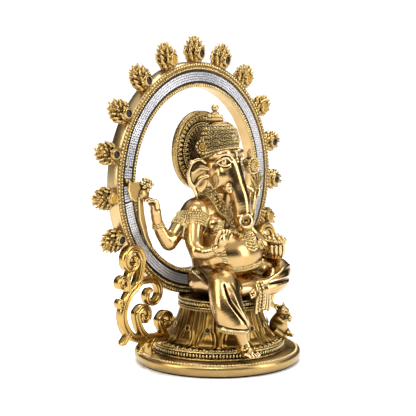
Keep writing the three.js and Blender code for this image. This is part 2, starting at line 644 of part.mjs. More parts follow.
// ---------------------------------------------------------------- mouse on the drum
function mouse() {
  const ground = box(-80, 80, -80, 80, -1, DRUM_TOP + GAP);
  const z = DRUM_TOP;
  const body = union([
    ovoid([36.5, -39.5, z + 10], [8, 8.6, 10.5]),
    ovoid([36.5, -42, z + 22.5], [5, 5.8, 5.2]),
    ovoid([37, -47.5, z + 21], [2.4, 4, 2.2]),
    ovoid([31.5, -40, z + 26], [2.6, 1.5, 2.6]),
    ovoid([41.5, -39, z + 26], [2.6, 1.5, 2.6]),
    ovoid([36.5, -48, z + 14.5], [5, 2.8, 2.4]),
    ovoid([32, -47, z + 3], [2.6, 4.4, 3]),
    ovoid([41.5, -46, z + 3], [2.6, 4.4, 3]),
  ]);
  return cut(body, [ground, throneOutside(3)]);
}

// ---------------------------------------------------------------- assembly
const group = new THREE.Group();

function place(name, body, material) {
  const mesh = new THREE.Mesh(surface(body), material);
  mesh.name = name;
  group.add(mesh);
}

place('felt_ring', feltRing(), FELT);
place('base_plate', basePlate(), SATIN);
place('plinth_drum', plinthDrum(), SATIN);
place('lotus_throne', lotusThrone(), SATIN);
place('seat_slab', seatSlab(), ANTIQUE);
place('bolt_washer', boltWasher(), STEEL);
place('throne_bolt', throneBolt(), STEEL);
place('ring_screw', ringScrew(), STEEL);

place('aureole_frame', aureoleFrame(), SATIN);
for (const [name, a, b] of CRYSTAL_ARCS) place(name, crystalBand(a, b), CRYSTAL);
for (let k = 0; k < FINIALS; k++) place(`finial_${String(k + 1).padStart(2, '0')}`, finial(k), ANTIQUE);
place('scroll_right', scroll(-1), POLISHED);
place('scroll_left', scroll(1), POLISHED);

place('torso', torso(), POLISHED);
place('necklace', necklace(), ANTIQUE);
place('belly_chain', bellyChain(), ANTIQUE);
place('medallion', medallion(), ANTIQUE);
place('waist_belt', waistBelt(), ANTIQUE);
place('head', head(), POLISHED);
place('ear_right', ear(-1), POLISHED);
place('ear_left', ear(1), POLISHED);
place('tusk_right', tusk(-1, 8), POLISHED);
place('tusk_left', tusk(1, 16), POLISHED);
place('crown', crown(), ANTIQUE);
place('crown_knob', crownKnob(), ANTIQUE);
place('halo_disc', haloDisc(), SATIN);

place('arm_front_right', armFront(-1), POLISHED);
place('arm_front_left', armFront(1), POLISHED);
place('arm_rear_right', armRear(-1), POLISHED);
place('arm_rear_left', armRear(1), POLISHED);
place('axe', axe(), SATIN);
place('lotus_emblem', lotusEmblem(), ANTIQUE);
place('sweet_bowl', sweetBowl(), ANTIQUE);

place('leg_pendant', legPendant(), POLISHED);
place('leg_folded', legFolded(), POLISHED);
place('front_pleats', frontPleats(), ANTIQUE);
place('mouse', mouse(), SATIN);

export default group;
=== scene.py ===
# %% [markdown]
# # Seated four-armed Ganesha in cast brass
# The figure sits on a lotus throne in front of a ring with leafy finials. Every piece is built here in
# millimetres and turned into metres when it becomes a mesh. The frame is the CAD model's own: +Z is up,
# the figure faces -Y, and right and left are the figure's own, so its right is -X.

import math
import bpy
import numpy as np
import openvdb as vdb
from mathutils import Euler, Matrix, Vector


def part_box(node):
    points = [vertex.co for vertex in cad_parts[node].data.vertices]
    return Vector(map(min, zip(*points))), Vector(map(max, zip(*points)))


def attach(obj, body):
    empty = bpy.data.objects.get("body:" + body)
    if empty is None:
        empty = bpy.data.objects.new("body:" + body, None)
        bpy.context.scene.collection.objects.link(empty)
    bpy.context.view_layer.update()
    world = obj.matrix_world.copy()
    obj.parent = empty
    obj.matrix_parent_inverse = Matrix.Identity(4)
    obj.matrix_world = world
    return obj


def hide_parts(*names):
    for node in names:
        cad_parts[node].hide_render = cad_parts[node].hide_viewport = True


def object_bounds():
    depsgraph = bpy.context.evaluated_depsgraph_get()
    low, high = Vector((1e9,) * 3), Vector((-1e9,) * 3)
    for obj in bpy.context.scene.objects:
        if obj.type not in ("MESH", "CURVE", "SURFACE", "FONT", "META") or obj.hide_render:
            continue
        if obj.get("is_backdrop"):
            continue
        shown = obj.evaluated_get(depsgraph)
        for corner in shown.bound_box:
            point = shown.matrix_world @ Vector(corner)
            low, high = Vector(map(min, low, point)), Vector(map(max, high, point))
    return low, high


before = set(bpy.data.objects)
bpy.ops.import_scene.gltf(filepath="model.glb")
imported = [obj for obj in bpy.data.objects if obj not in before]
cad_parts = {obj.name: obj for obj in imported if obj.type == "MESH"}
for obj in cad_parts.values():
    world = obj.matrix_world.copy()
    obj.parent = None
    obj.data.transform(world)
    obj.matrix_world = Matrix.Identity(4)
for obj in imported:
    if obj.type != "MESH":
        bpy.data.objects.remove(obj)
cad_box = [list(v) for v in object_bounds()]
MM = 0.001
rng = np.random.default_rng(7)
print("nodes", len(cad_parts), "box", np.round(np.array(cad_box) / MM, 1).tolist())

# %% [markdown]
# ## Meshes from numpy arrays
# A shape is a pair: its corners in millimetres, and a list of face arrays of any width. It could be built
# face by face, but whole arrays are quicker and let one formula describe a whole surface.

# %% Grids, copies and beads
def grid_shape(points, wrap_u=False, wrap_v=False):
    """A quad surface over a grid of points [u, v], closed round u or v when asked."""
    nu, nv = points.shape[:2]
    index = np.arange(nu * nv).reshape(nu, nv)
    if wrap_u:
        index = np.vstack([index, index[:1]])
    if wrap_v:
        index = np.hstack([index, index[:, :1]])
    quads = np.stack([index[:-1, :-1], index[1:, :-1], index[1:, 1:], index[:-1, 1:]], -1)
    return points.reshape(-1, 3), [quads.reshape(-1, 4)]


def join(*shapes):
    """One shape out of several."""
    corners, faces, start = [], [], 0
    for points, groups in shapes:
        corners.append(points)
        faces += [group + start for group in groups]
        start += len(points)
    return np.vstack(corners), faces


def scatter(shape, places, turns, sizes=1.0):
    """Copies of a shape at the places [n, 3], turned by [n, 3, 3] and scaled by [n] or [n, 3]."""
    points, groups = shape
    sizes = np.broadcast_to(np.reshape(sizes, (-1, 1)) if np.ndim(sizes) < 2 else sizes, (len(places), 3))
    spots = np.einsum("nij,nkj->nki", turns, points[None] * sizes[:, None])
    spots += places[:, None]
    shift = np.arange(len(places))[:, None, None] * len(points)
    return spots.reshape(-1, 3), [(group[None] + shift).reshape(-1, group.shape[1]) for group in groups]


def bead(sides=8, rings=5):
    """A unit ball with few faces: x = sin(b) cos(a), y = sin(b) sin(a), z = cos(b)."""
    a = np.arange(sides) * 2 * np.pi / sides
    b = np.arange(1, rings) * np.pi / rings
    body = np.stack([np.sin(b)[:, None] * np.cos(a), np.sin(b)[:, None] * np.sin(a),
                     np.cos(b)[:, None] + 0 * a], -1)
    points, groups = grid_shape(body, wrap_v=True)
    points = np.vstack([points, [[0, 0, 1], [0, 0, -1]]])
    n = len(points)
    ring = np.arange(sides)
    nxt = (ring + 1) % sides
    last = (rings - 2) * sides
    top = np.stack([np.full(sides, n - 2), ring, nxt], -1)
    foot = np.stack([np.full(sides, n - 1), last + nxt, last + ring], -1)
    return points, [*groups, top, foot]


def frames(out, along):
    """Turns whose z axis is out and whose x axis lies as near to along as it can."""
    z = out / np.linalg.norm(out, axis=-1, keepdims=True)
    y = np.cross(z, along)
    y /= np.maximum(np.linalg.norm(y, axis=-1, keepdims=True), 1e-9)
    return np.stack([np.cross(y, z), y, z], -1)

# %% [markdown]
# ## Pieces
# A piece becomes a Blender object here. Old brass is dark where cloths and fingers don't reach, so each
# piece also stores how hollow its surface is at every corner, for the finishes to read.

# %% Hollowness and pieces
def mark_recess(mesh, rounds=2):
    """Stores how hollow the surface is at each corner, in 1/mm: the mean of n.(q - p) / |q - p|^2 over
    the neighbours q of p, smoothed a little."""
    n = len(mesh.vertices)
    co = np.zeros(n * 3, np.float32)
    mesh.vertices.foreach_get("co", co)
    no = np.zeros(n * 3, np.float32)
    mesh.vertices.foreach_get("normal", no)
    ends = np.zeros(len(mesh.edges) * 2, np.int32)
    mesh.edges.foreach_get("vertices", ends)
    co, no, (a, b) = co.reshape(-1, 3) / MM, no.reshape(-1, 3), ends.reshape(-1, 2).T
    way = co[b] - co[a]
    square = np.maximum((way ** 2).sum(1), 1e-6)
    count = np.maximum(np.bincount(a, minlength=n) + np.bincount(b, minlength=n), 1)
    value = np.bincount(a, (no[a] * way).sum(1) / square, n) - np.bincount(b, (no[b] * way).sum(1) / square,
                                                                           n)
    value /= count
    for _ in range(rounds):
        around = np.bincount(a, value[b], n) + np.bincount(b, value[a], n)
        value = 0.5 * value + 0.5 * around / count
    mesh.attributes.new("recess", "FLOAT", "POINT").data.foreach_set("value", value.astype(np.float32))


def piece(name, shape, material, nodes=(), smooth=True):
    """Makes the object, gives it its material and hides the CAD nodes it stands for."""
    points, groups = shape
    mesh = bpy.data.meshes.new(name)
    mesh.vertices.add(len(points))
    mesh.vertices.foreach_set("co", (np.asarray(points, np.float32) * MM).ravel())
    widths = np.concatenate([np.full(len(g), g.shape[1]) for g in groups])
    loops = np.concatenate([np.asarray(g).ravel() for g in groups]).astype(np.int32)
    mesh.loops.add(len(loops))
    mesh.loops.foreach_set("vertex_index", loops)
    mesh.polygons.add(len(widths))
    mesh.polygons.foreach_set("loop_start", np.concatenate([[0], np.cumsum(widths)[:-1]]).astype(np.int32))
    mesh.polygons.foreach_set("use_smooth", np.full(len(widths), smooth))
    mesh.update(calc_edges=True)
    mark_recess(mesh)
    mesh.materials.append(material)
    thing = bpy.data.objects.new(name, mesh)
    bpy.context.scene.collection.objects.link(thing)
    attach(thing, "root")
    if nodes:
        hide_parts(*nodes)
    print(f"{name}: {int((widths - 2).sum())} triangles")
    return thing

# %% [markdown]
# ## Sculpting with distances
# A cast figure starts as wax, and wax blends. So its soft parts are a distance field: lumps
# (ellipsoids) and limbs (rods whose thickness changes) melt into each other, and the same shapes dig
# folds. A polygon cage would need every seam planned; the field needs none. The skin is where it is 0.

# %% Blocks of clay
FAR = 5.0


def clay(low, high, step):
    """An empty block: three axes of grid places and the distance at each, far at first."""
    axes = [np.arange(a, b + step, step, dtype=np.float32) for a, b in zip(low, high)]
    return {"axes": axes, "step": step, "d": np.full([len(a) for a in axes], FAR, np.float32)}


def window(block, low, high):
    """The part of a block between two corners, and the places in it."""
    cuts = tuple(slice(*np.searchsorted(a, (l, h))) for a, l, h in zip(block["axes"], low, high))
    return cuts, np.stack(np.meshgrid(*[a[c] for a, c in zip(block["axes"], cuts)], indexing="ij"), -1)


def melt(a, b, k):
    """The smaller of two distances, rounded over a width k."""
    h = np.clip(0.5 + 0.5 * (b - a) / k, 0, 1)
    return b + (a - b) * h - k * h * (1 - h)


def press(block, cuts, d, k, dig):
    """Melts a distance into a block, or takes it away: the larger of old and minus d."""
    old = block["d"][cuts]
    block["d"][cuts] = -melt(-old, d, k) if dig else melt(old, d, k)


def lump(block, centre, radii, k=2.0, turn=(0, 0, 0), dig=False):
    """An ellipsoid: distance about |q/r| (|q/r| - 1) / |q/r^2|."""
    centre, radii = np.array(centre, float), np.array(radii, float)
    reach = radii.max() + 2 * k + 1
    cuts, points = window(block, centre - reach, centre + reach)
    if points.size == 0:
        return
    q = (points - centre) @ np.array(Euler(np.radians(turn)).to_matrix())
    near = np.linalg.norm(q / radii, axis=-1)
    d = near * (near - 1) / np.maximum(np.linalg.norm(q / radii ** 2, axis=-1), 1e-6)
    press(block, cuts, d, k, dig)

# %% Curves and rods
def through(stations, count):
    """A Catmull-Rom curve through the stations, sampled count times."""
    s = np.array(stations, float)
    s = np.vstack([2 * s[0] - s[1], s, 2 * s[-1] - s[-2]])
    t = np.linspace(0, len(s) - 3 - 1e-6, count)
    i = t.astype(int)
    f = (t - i)[:, None]
    a, b, c, d = s[i], s[i + 1], s[i + 2], s[i + 3]
    return 0.5 * (2 * b + (c - a) * f + (2 * a - 5 * b + 4 * c - d) * f ** 2
                  + (3 * b - a - 3 * c + d) * f ** 3)


def limb(block, stations, k=2.0, dig=False, count=0):
    """A rod through the stations [x, y, z, r]; the hard smallest distance to its stretches."""
    s = through(stations, count) if count else np.array(stations, float)
    reach = s[:, 3:] + 2 * k + 1
    cuts, points = window(block, (s[:, :3] - reach).min(0), (s[:, :3] + reach).max(0))
    if points.size == 0:
        return
    best = np.full(points.shape[:3], 99.0, np.float32)
    for (*a, ra), (*b, rb) in zip(s[:-1], s[1:]):
        a, way = np.array(a), np.subtract(b, a)
        t = np.clip(((points - a) @ way) / (way @ way), 0, 1)
        d = np.linalg.norm(points - a - t[..., None] * way, axis=-1) - (ra + (rb - ra) * t)
        best = np.minimum(best, d)
    press(block, cuts, best, k, dig)

# %% The skin and what lies on it
def skin(block):
    """The surface where the distance is 0."""
    grid = vdb.FloatGrid(FAR)
    grid.copyFromArray(block["d"])
    points, quads = grid.convertToQuads(0.0)
    low = np.array([a[0] for a in block["axes"]])
    return points * block["step"] + low, [quads.astype(np.int64)]


def sample(block, points):
    """The field at free points, by trilinear weights."""
    low = np.array([a[0] for a in block["axes"]])
    q = (points - low) / block["step"]
    i = np.clip(q.astype(int), 0, np.array(block["d"].shape) - 2)
    f = np.clip(q - i, 0, 1)
    total = 0
    for corner in np.ndindex(2, 2, 2):
        weight = np.prod(np.where(np.array(corner), f, 1 - f), axis=-1)
        j = i + corner
        total = total + weight * block["d"][j[..., 0], j[..., 1], j[..., 2]]
    return total


def slope(block, points):
    """The outward direction: differences of the field one step to each side, at length 1."""
    h = block["step"]
    cols = [sample(block, points + e) - sample(block, points - e) for e in np.eye(3) * h]
    g = np.stack(cols, -1)
    return g / np.maximum(np.linalg.norm(g, axis=-1, keepdims=True), 1e-6)


def settle(block, points, level=0.0, rounds=6):
    """Moves points onto the skin, or level above it. Returns them and the outward directions."""
    points = np.array(points, float)
    for _ in range(rounds):
        points = points - slope(block, points) * (sample(block, points) - level)[..., None]
    return points, slope(block, points)

# %% [markdown]
# ## Beads, cords and turned shapes
# The chased ornament is mostly beads in rows. Each row follows a curve that is first moved onto the skin,
# so it sits on the body as a real one does. Cords and turned walls are profiles carried along a path.

# %% Rows, circles, cords and turned walls
def evenly(path, pitch, closed=False):
    """Points at an even pitch along a path."""
    if closed:
        path = np.vstack([path, path[:1]])
    run = np.concatenate([[0], np.cumsum(np.linalg.norm(np.diff(path, axis=0), axis=1))])
    count = max(2, int(round(run[-1] / pitch)))
    marks = np.linspace(0, run[-1], count, endpoint=not closed)
    return np.stack([np.interp(marks, run, path[:, i]) for i in range(3)], -1)


def bead_row(block, path, size, pitch, level=0.0, closed=False, flat=0.8, long=1.0, unit=None):
    """A row of beads lying on the skin along a path."""
    spots, out = settle(block, evenly(path, pitch, closed), level)
    along = np.gradient(spots, axis=0)
    sizes = np.tile([size * long, size, size * flat], (len(spots), 1))
    return scatter(unit or bead(8, 5), spots, frames(out, along), sizes)


def hoop(centre, axis, radius, count=80, start=0.0, end=360.0):
    """A circle about the axis through the centre."""
    axis = np.array(axis, float) / np.linalg.norm(axis)
    side = np.cross(axis, [0, 0, 1.0] if abs(axis[2]) < 0.9 else [0, 1.0, 0])
    side /= np.linalg.norm(side)
    t = np.radians(np.linspace(start, end, count, endpoint=end - start < 360))[:, None]
    return np.array(centre) + radius * (np.cos(t) * side + np.sin(t) * np.cross(axis, side))


def tube(path, radius, sides=8):
    """A round cord along a path, its ends drawn in."""
    path = np.asarray(path, float)
    way = np.gradient(path, axis=0)
    way /= np.linalg.norm(way, axis=1, keepdims=True)
    side = np.cross(way, [0.31, 0.17, 0.93])
    side /= np.linalg.norm(side, axis=1, keepdims=True)
    up = np.cross(way, side)
    r = np.broadcast_to(radius, len(path)).copy()
    r[[0, -1]] *= 0.05
    t = np.arange(sides) * 2 * np.pi / sides
    ring = np.cos(t)[None, :, None] * side[:, None] + np.sin(t)[None, :, None] * up[:, None]
    return grid_shape((path[:, None] + ring * r[:, None, None])[:, ::-1], wrap_v=True)


def lathe(profile, segments=200, centre=(0, 0), axis="z"):
    """A turned surface from [radius, height] pairs about a line along Z, or along Y for the ring."""
    profile = np.array(profile, float)
    t = np.linspace(0, 2 * np.pi, segments, endpoint=False)
    r, h = profile[:, 0][:, None], profile[:, 1][:, None] + 0 * t
    if axis == "z":
        return grid_shape(np.stack([centre[0] + r * np.cos(t), centre[1] + r * np.sin(t), h], -1)[:, ::-1],
                          wrap_v=True)
    return grid_shape(np.stack([centre[0] + r * np.sin(t), h, centre[1] + r * np.cos(t)], -1)[:, ::-1],
                      wrap_v=True)


print("tools ready")

# %% [markdown]
# ## How a finish is made
# Cast brass, toned dark and rubbed back: brown stays in the hollows and the edges are bright. One painted
# colour would look like plastic, so the colour comes from the stored hollowness and a soft cloud of noise.

# %% Colours and nodes
def linear(colour):
    """A hex sRGB colour as linear RGB and alpha."""
    parts = [int(colour[i:i + 2], 16) / 255 for i in (1, 3, 5)]
    return (*[c / 12.92 if c <= 0.04045 else ((c + 0.055) / 1.055) ** 2.4 for c in parts], 1.0)


def node(tree, kind, settings=None, links=None, **fields):
    """Adds a node, sets its fields and sockets, and links its inputs from (node, output) pairs."""
    made = tree.nodes.new(kind)
    for key, value in fields.items():
        setattr(made, key, value)
    for key, value in (settings or {}).items():
        made.inputs[key].default_value = value
    for key, (source, output) in (links or {}).items():
        tree.links.new(source.outputs[output], made.inputs[key])
    return made


def plain(name, colour, roughness, metallic=0.0, **settings):
    """A Principled material with set values only."""
    made = bpy.data.materials.new(name)
    made.use_nodes = True
    shader = made.node_tree.nodes["Principled BSDF"]
    shader.inputs["Base Color"].default_value = linear(colour)
    shader.inputs["Roughness"].default_value = roughness
    shader.inputs["Metallic"].default_value = metallic
    for key, value in settings.items():
        shader.inputs[key.replace("_", " ")].default_value = value
    return made


def ramp(tree, source, output, stops):
    """A colour ramp: between two stops the colour goes evenly from one to the next."""
    made = node(tree, "ShaderNodeValToRGB", links={"Fac": (source, output)})
    while len(made.color_ramp.elements) < len(stops):
        made.color_ramp.elements.new(0.5)
    for element, (at, colour) in zip(made.color_ramp.elements, stops):
        element.position = at
        element.color = linear(colour)
    return made

# %% The brass recipe
def brass(name, bright, mid, dark, rough, grain=0.0, grain_scale=1100.0, hollow=0.35, dent=0.12):
    """Antiqued brass. The recess attribute darkens hollows and brightens edges, noise mottles the tone and
    the polish, and grain adds chased relief of 1 / grain_scale metres."""
    made = bpy.data.materials.new(name)
    made.use_nodes = True
    tree = made.node_tree
    shader = tree.nodes["Principled BSDF"]
    shader.inputs["Metallic"].default_value = 1.0
    place = node(tree, "ShaderNodeTexCoord")
    recess = node(tree, "ShaderNodeAttribute", attribute_name="recess")
    depth = node(tree, "ShaderNodeMapRange", {"From Min": -hollow, "From Max": hollow},
                 {"Value": (recess, "Fac")})
    cloud = node(tree, "ShaderNodeTexNoise", {"Scale": 70.0, "Detail": 5.0, "Roughness": 0.6},
                 {"Vector": (place, "Object")})
    fine = node(tree, "ShaderNodeTexNoise", {"Scale": 900.0, "Detail": 3.0}, {"Vector": (place, "Object")})
    shade = node(tree, "ShaderNodeMath", {1: 0.22}, {0: (cloud, "Fac")}, operation="MULTIPLY_ADD")
    tree.links.new(depth.outputs["Result"], shade.inputs[2])
    height = None
    if grain:
        cells = node(tree, "ShaderNodeTexVoronoi", {"Scale": grain_scale, "Randomness": 0.9},
                     {"Vector": (place, "Object")})
        pit = node(tree, "ShaderNodeMath", {1: 0.55}, {0: (cells, "Distance")}, operation="MULTIPLY_ADD")
        tree.links.new(shade.outputs[0], pit.inputs[2])
        less = node(tree, "ShaderNodeMath", {1: 0.2}, {0: (pit, "Value")}, operation="SUBTRACT")
        tone_from = less
        height = cells
    else:
        tone_from = shade
    tone = ramp(tree, tone_from, "Value", [(0.0, bright), (0.62, mid), (0.82, dark), (1.0, "#140b04")])
    tree.links.new(tone.outputs["Color"], shader.inputs["Base Color"])
    polish = node(tree, "ShaderNodeMapRange", {"To Min": rough - 0.07, "To Max": rough + 0.13},
                  {"Value": (cloud, "Fac")})
    tree.links.new(polish.outputs["Result"], shader.inputs["Roughness"])
    bump = node(tree, "ShaderNodeBump", {"Strength": dent, "Distance": 0.0004}, {"Height": (fine, "Fac")})
    wave = node(tree, "ShaderNodeBump", {"Strength": 0.12, "Distance": 0.0012}, {"Height": (cloud, "Fac")})
    tree.links.new(bump.outputs["Normal"], wave.inputs["Normal"])
    last = wave
    if height:
        last = node(tree, "ShaderNodeBump", {"Strength": grain, "Distance": 0.0005},
                    {"Height": (height, "Distance")},
                    invert=True)
        tree.links.new(wave.outputs["Normal"], last.inputs["Normal"])
    tree.links.new(last.outputs["Normal"], shader.inputs["Normal"])
    return made

# %% [markdown]
# ## The finishes
# Polished skin, satin castings and chased ornament differ in how rough they are and how dark their
# hollows get. The scrolls and the finials were toned least, and the throne most. The crystals are silvered
# glass, a mirror behind facets; the round stones are amber and smoke-brown glass; the foot is felt.

# %% Every finish on the statue
# Polished brass of skin and cloth: mirror-like, with soft brown in the folds.
POLISHED = brass("polished_brass", "#e4d0a4", "#ab8b57", "#382410", 0.19)
# Brass as cast and brushed: duller, with small dents that break up what it mirrors.
CAST = brass("satin_brass", "#d9c48f", "#9c7e48", "#2f1e0d", 0.27, dent=0.2)
# Chased brass: bright tops over nearly black ground, so beads and petals read from afar.
CHASED = brass("antique_brass", "#e2cf96", "#8f7038", "#1d1107", 0.22, grain=0.6, hollow=0.4)
# Scroll brass, toned little: its hollows stay golden brown.
SCROLL = brass("scroll_brass", "#d9c48c", "#a88746", "#4a3213", 0.2, hollow=1.0)
# Throne brass, toned most: dull and darker, so the petals stand out by their edges.
BELL = brass("throne_brass", "#c6ab6c", "#80602b", "#241406", 0.33, hollow=0.6, dent=0.2)
# Brass of the strips under the beads: dull and dark, a shadow between bright dots.
BED = brass("bed_brass", "#8a6c3a", "#553d1d", "#1a0f06", 0.36)
# Painted shadow: the dark line of shade in the gap between the crystal channel and the beads.
SEAM_SHADE = plain("seam_shadow", "#1c1107", 0.45, 0.5)
# The ring's plain brass: satin, with an even gleam round the curve.
WALL = brass("wall_brass", "#e2cfa2", "#ac8e5c", "#4c3519", 0.27, dent=0.25)
# Silvered cut glass: grey metal on flat facets, so each stone flashes on its own.
STONE = plain("crystal_mesh", "#d6d5d8", 0.3, 0.85)
# The dark foil behind the stones, seen as thin lines between them.
FOIL = plain("crystal_foil", "#17171b", 0.45, 0.3)
# Finial brass: satin, with brown hollows between the leaves.
SPIRE = brass("finial_brass", "#dcc892", "#957740", "#2a190a", 0.26, hollow=0.8)
# Amber glass: deep yellow with a small highlight.
AMBER = plain("amber_glass", "#a0740a", 0.2, 0.0, Specular_IOR_Level=0.3)
# Smoke-brown glass: almost black with a small highlight. On the throne the same near-black is painted shade
# for the shadow inside empty stone sockets.
DARK = plain("smoke_glass_and_socket_shade", "#1c0d05", 0.3, 0.0, Specular_IOR_Level=0.2)
# Black felt: no gleam, a faint light edge from its fibres.
FELT = plain("black_felt", "#0d0b0a", 0.95, 0.0, Sheen_Weight=0.3)
# Zinc-plated steel of the fastenings: cold grey beside the brass.
ZINC = plain("fastener_steel", "#8c8f92", 0.35, 1.0)
print(len(bpy.data.materials), "materials")

# %% [markdown]
# ## Round parts
# Base, drum and throne are turned, so a profile swept round is the nearest thing to how they were made.
# Their beads and leaves are small copies set round the circle.

# %% Copies
def placed(unit, sizes, spot):
    """A shape times its sizes, moved to a spot."""
    return unit[0] * sizes + spot, unit[1]


def upright(count):
    """For each of the copies, the plain directions x, y and z."""
    return np.tile(np.eye(3), (count, 1, 1))

# %% Beads round a circle
PLATE_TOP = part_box("base_plate")[1].z / MM
THRONE_Y = -3.5
BEAD = bead(8, 5)
DOT = bead(6, 4)
Z_AXIS = np.array([0, 0, 1.0])


def ring_of(unit, count, radius, z, sizes, centre_y=0.0, outward=0.0, phase=0.0):
    """Copies of a unit round the vertical, z axis up and leaning outward, x axis along the circle."""
    t = (np.arange(count) + phase) * 2 * np.pi / count
    out = np.stack([np.cos(t), np.sin(t), 0 * t], -1)
    along = np.cross(Z_AXIS, out)
    spots = out * radius + [0, centre_y, z]
    up = Z_AXIS * (1 - outward) + out * outward
    return scatter(unit, spots, frames(up, along), np.tile(sizes, (count, 1)))

# %% [markdown]
# ## Felt and base plate
# A flat ring of black felt keeps the table from scratches. The plate over it has a rolled edge and one
# row of beads in a groove.
# The beads could be a bump on the edge, but the edge is seen from the side, so they are real.

# %% Felt and plate
felt = lathe([[50, 0], [68, 0], [68.3, 0.3], [68, 1.2], [50, 1.2], [50, 0]])
piece("felt_pad", felt, FELT, ["felt_ring"])

plate = lathe([[50, 1.5], [69.4, 1.5], [70.2, 1.8], [71.2, 3.2], [71.8, 5.4], [71.9, 7.4], [71.5, 8.9],
               [70.7, 9.9],
               [69.6, 10.2], [68.8, 9.9], [67.2, 9.9], [66.6, 10.3], [65.8, 10.8], [63, 11.1], [50, 11.1],
               [50, 1.5]])
plate_beads = ring_of(BEAD, 150, 68.1, 10.1, [1.61, 1.33, 1.26])
piece("base_plate_cast", join(plate, plate_beads), CAST, ["base_plate"])

# %% [markdown]
# ## Drum
# A short step between two mouldings, with small tongues standing round its wall and a fringe of
# leaves on top. They are flattened beads, since nobody sees more than their round fronts.

# %% Drum
drum = lathe([[38, 11.4], [58, 11.4], [58.2, 11.9], [57.9, 12.5], [57.3, 12.8], [57, 13.2], [57, 16.9],
              [57.3, 17.3],
              [57.9, 17.5], [58.2, 18], [57.9, 18.6], [57, 19], [38, 19], [38, 11.4]])
tongue = ring_of(bead(6, 6), 128, 57.0, 15.1, [1.05, 0.7, 1.75])
drum_beads = ring_of(BEAD, 128, 55.2, 19.1, [1.15, 1.15, 0.9])
fringe = ring_of(bead(8, 6), 52, 51.3, 19.2, [1.7, 2.6, 0.8], outward=0.12)
piece("drum_cast", join(drum, tongue, drum_beads, fringe), CHASED, ["plinth_drum"])

# %% [markdown]
# ## Lotus throne
# The bell is a hollow casting with thirteen long petals. They could be carved one by one, but all are
# alike, so one formula gives the height of the relief over the turn and the rise.
# A painted relief would look flat on so large a wall, so the wall itself moves. Each petal carries a
# round cup, and the near-black disc in it is painted shade for the shadow inside an empty socket.

# %% Bell with petals
PETALS = 13


def bell_wall():
    """The bell's outside: radius over the turn a and the height t, with thirteen petals. A petal is
    two rounded borders at the distance w(t) from its middle and lifts into a curled lobe at its foot."""
    a = np.linspace(0, 2 * np.pi, PETALS * 48, endpoint=False)[:, None]
    t = np.linspace(0, 1, 96)[None, :]
    s = ((a * PETALS / (2 * np.pi) - 0.377 + 0.5) % 1 - 0.5) * 2
    base = 33.6 + 12.2 * (1 - t) ** 1.5
    w = 0.48 + 0.36 * np.clip(1 - t / 0.42, 0, 1) ** 0.5 * np.clip(t / 0.02, 0, 1)
    w = np.where(t < 0.1, w * np.sqrt(np.clip(1 - ((0.1 - t) / 0.1) ** 2, 0, 1)), w)
    edge = np.abs(s) - w
    border = (1.3 * np.exp(-(edge / 0.11) ** 2)
              + 0.8 * np.exp(-((edge + 0.3) / 0.09) ** 2) * np.clip((0.6 - t) / 0.2, 0, 1))
    panel = 1.0 * np.clip(1 - (s / 0.5) ** 2, 0, 1) * np.clip((0.95 - t) / 0.2, 0, 1)
    fillet = 1.0 * np.exp(-((np.abs(s) - 1) / 0.14) ** 2) * np.clip((t - 0.25) / 0.2, 0, 1)
    lobe = 3.6 * np.exp(-((t - 0.1) / 0.08) ** 2) * np.clip(1 - (np.abs(s) / 0.82) ** 4, 0, 1)
    curl = 1.6 * np.exp(-((t - 0.19) / 0.035) ** 2) * np.clip(1 - (np.abs(s) / 0.5) ** 4, 0, 1)
    r = base + border * np.clip((1 - t) / 0.06, 0, 1) + panel + fillet + lobe - curl * 0.6
    z = 19.4 + 30.2 * t + 0 * a
    return np.stack([r * np.cos(a), THRONE_Y + r * np.sin(a), z], -1)


outside = bell_wall()
centre = np.array([0, THRONE_Y, 0])
inside = (outside - centre) * [0.84, 0.84, 1] + centre
inside[..., 2] = np.minimum(inside[..., 2], 44.7)
roof = grid_shape(np.concatenate([outside[:, -1:], outside[:, -1:] * [0, 0, 1] + centre], 1)[:, ::-1],
                  wrap_u=True)
bell = grid_shape(np.concatenate([inside[:, ::-1], outside], 1), wrap_u=True)
bell_beads = ring_of(BEAD, 100, 36.0, 48.6, [1.05, 0.9, 0.9], THRONE_Y)
cups = []
socket_shades = []
PETAL_ANGLES = np.radians(176.6 + np.arange(PETALS) * 360 / PETALS)
for a in PETAL_ANGLES:
    out = np.array([math.cos(a), math.sin(a), 0.35])
    spot = np.array([41.6 * math.cos(a), THRONE_Y + 41.6 * math.sin(a), 33.8])
    turn = frames(out[None], Z_AXIS[None])
    cups.append(scatter(lathe([[2.9, -0.8], [2.6, 0.2], [2.3, 0.2], [1.9, -0.6]], 20),
                        spot[None] - out * 0.5, turn))
    # The near-black discs in the cups are painted shade: the shadow inside the empty stone sockets.
    socket_shades.append(scatter(bead(12, 6), spot[None] - out * 0.9, turn, np.array([[2.1, 1.9, 0.8]])))
piece("throne_cast", join(bell, roof, bell_beads, *cups), BELL, ["lotus_throne"])
piece("throne_socket_shades", join(*socket_shades), DARK, ["lotus_throne"])

# %% [markdown]
# ## Seat
# A flat slab with a chased edge, under the figure. Its slanting leaves are a sine wave round the edge.
# Single leaves could be placed one by one, but they are under a millimetre high, so a wave is enough.

# %% Seat
def seat_wall():
    """The seat's edge: two rounded mouldings with a chased band of slanting leaves between them."""
    a = np.linspace(0, 2 * np.pi, 720, endpoint=False)[:, None]
    v = np.linspace(0, 1, 30)[None, :]
    leaf = 0.5 * np.abs(np.sin(36 * a + 5 * (v - 0.5))) * np.clip(1 - ((v - 0.5) / 0.28) ** 2, 0, 1)
    r = 35.6 + 1.2 * np.exp(-((v - 0.1) / 0.09) ** 2) + 1.2 * np.exp(-((v - 0.9) / 0.09) ** 2) + leaf
    r = np.where(v >= 0.999, 35, np.where(v <= 0.001, 35, r))
    return np.stack([r * np.cos(a), THRONE_Y + r * np.sin(a), 50.05 + 7.1 * v + 0 * a], -1)


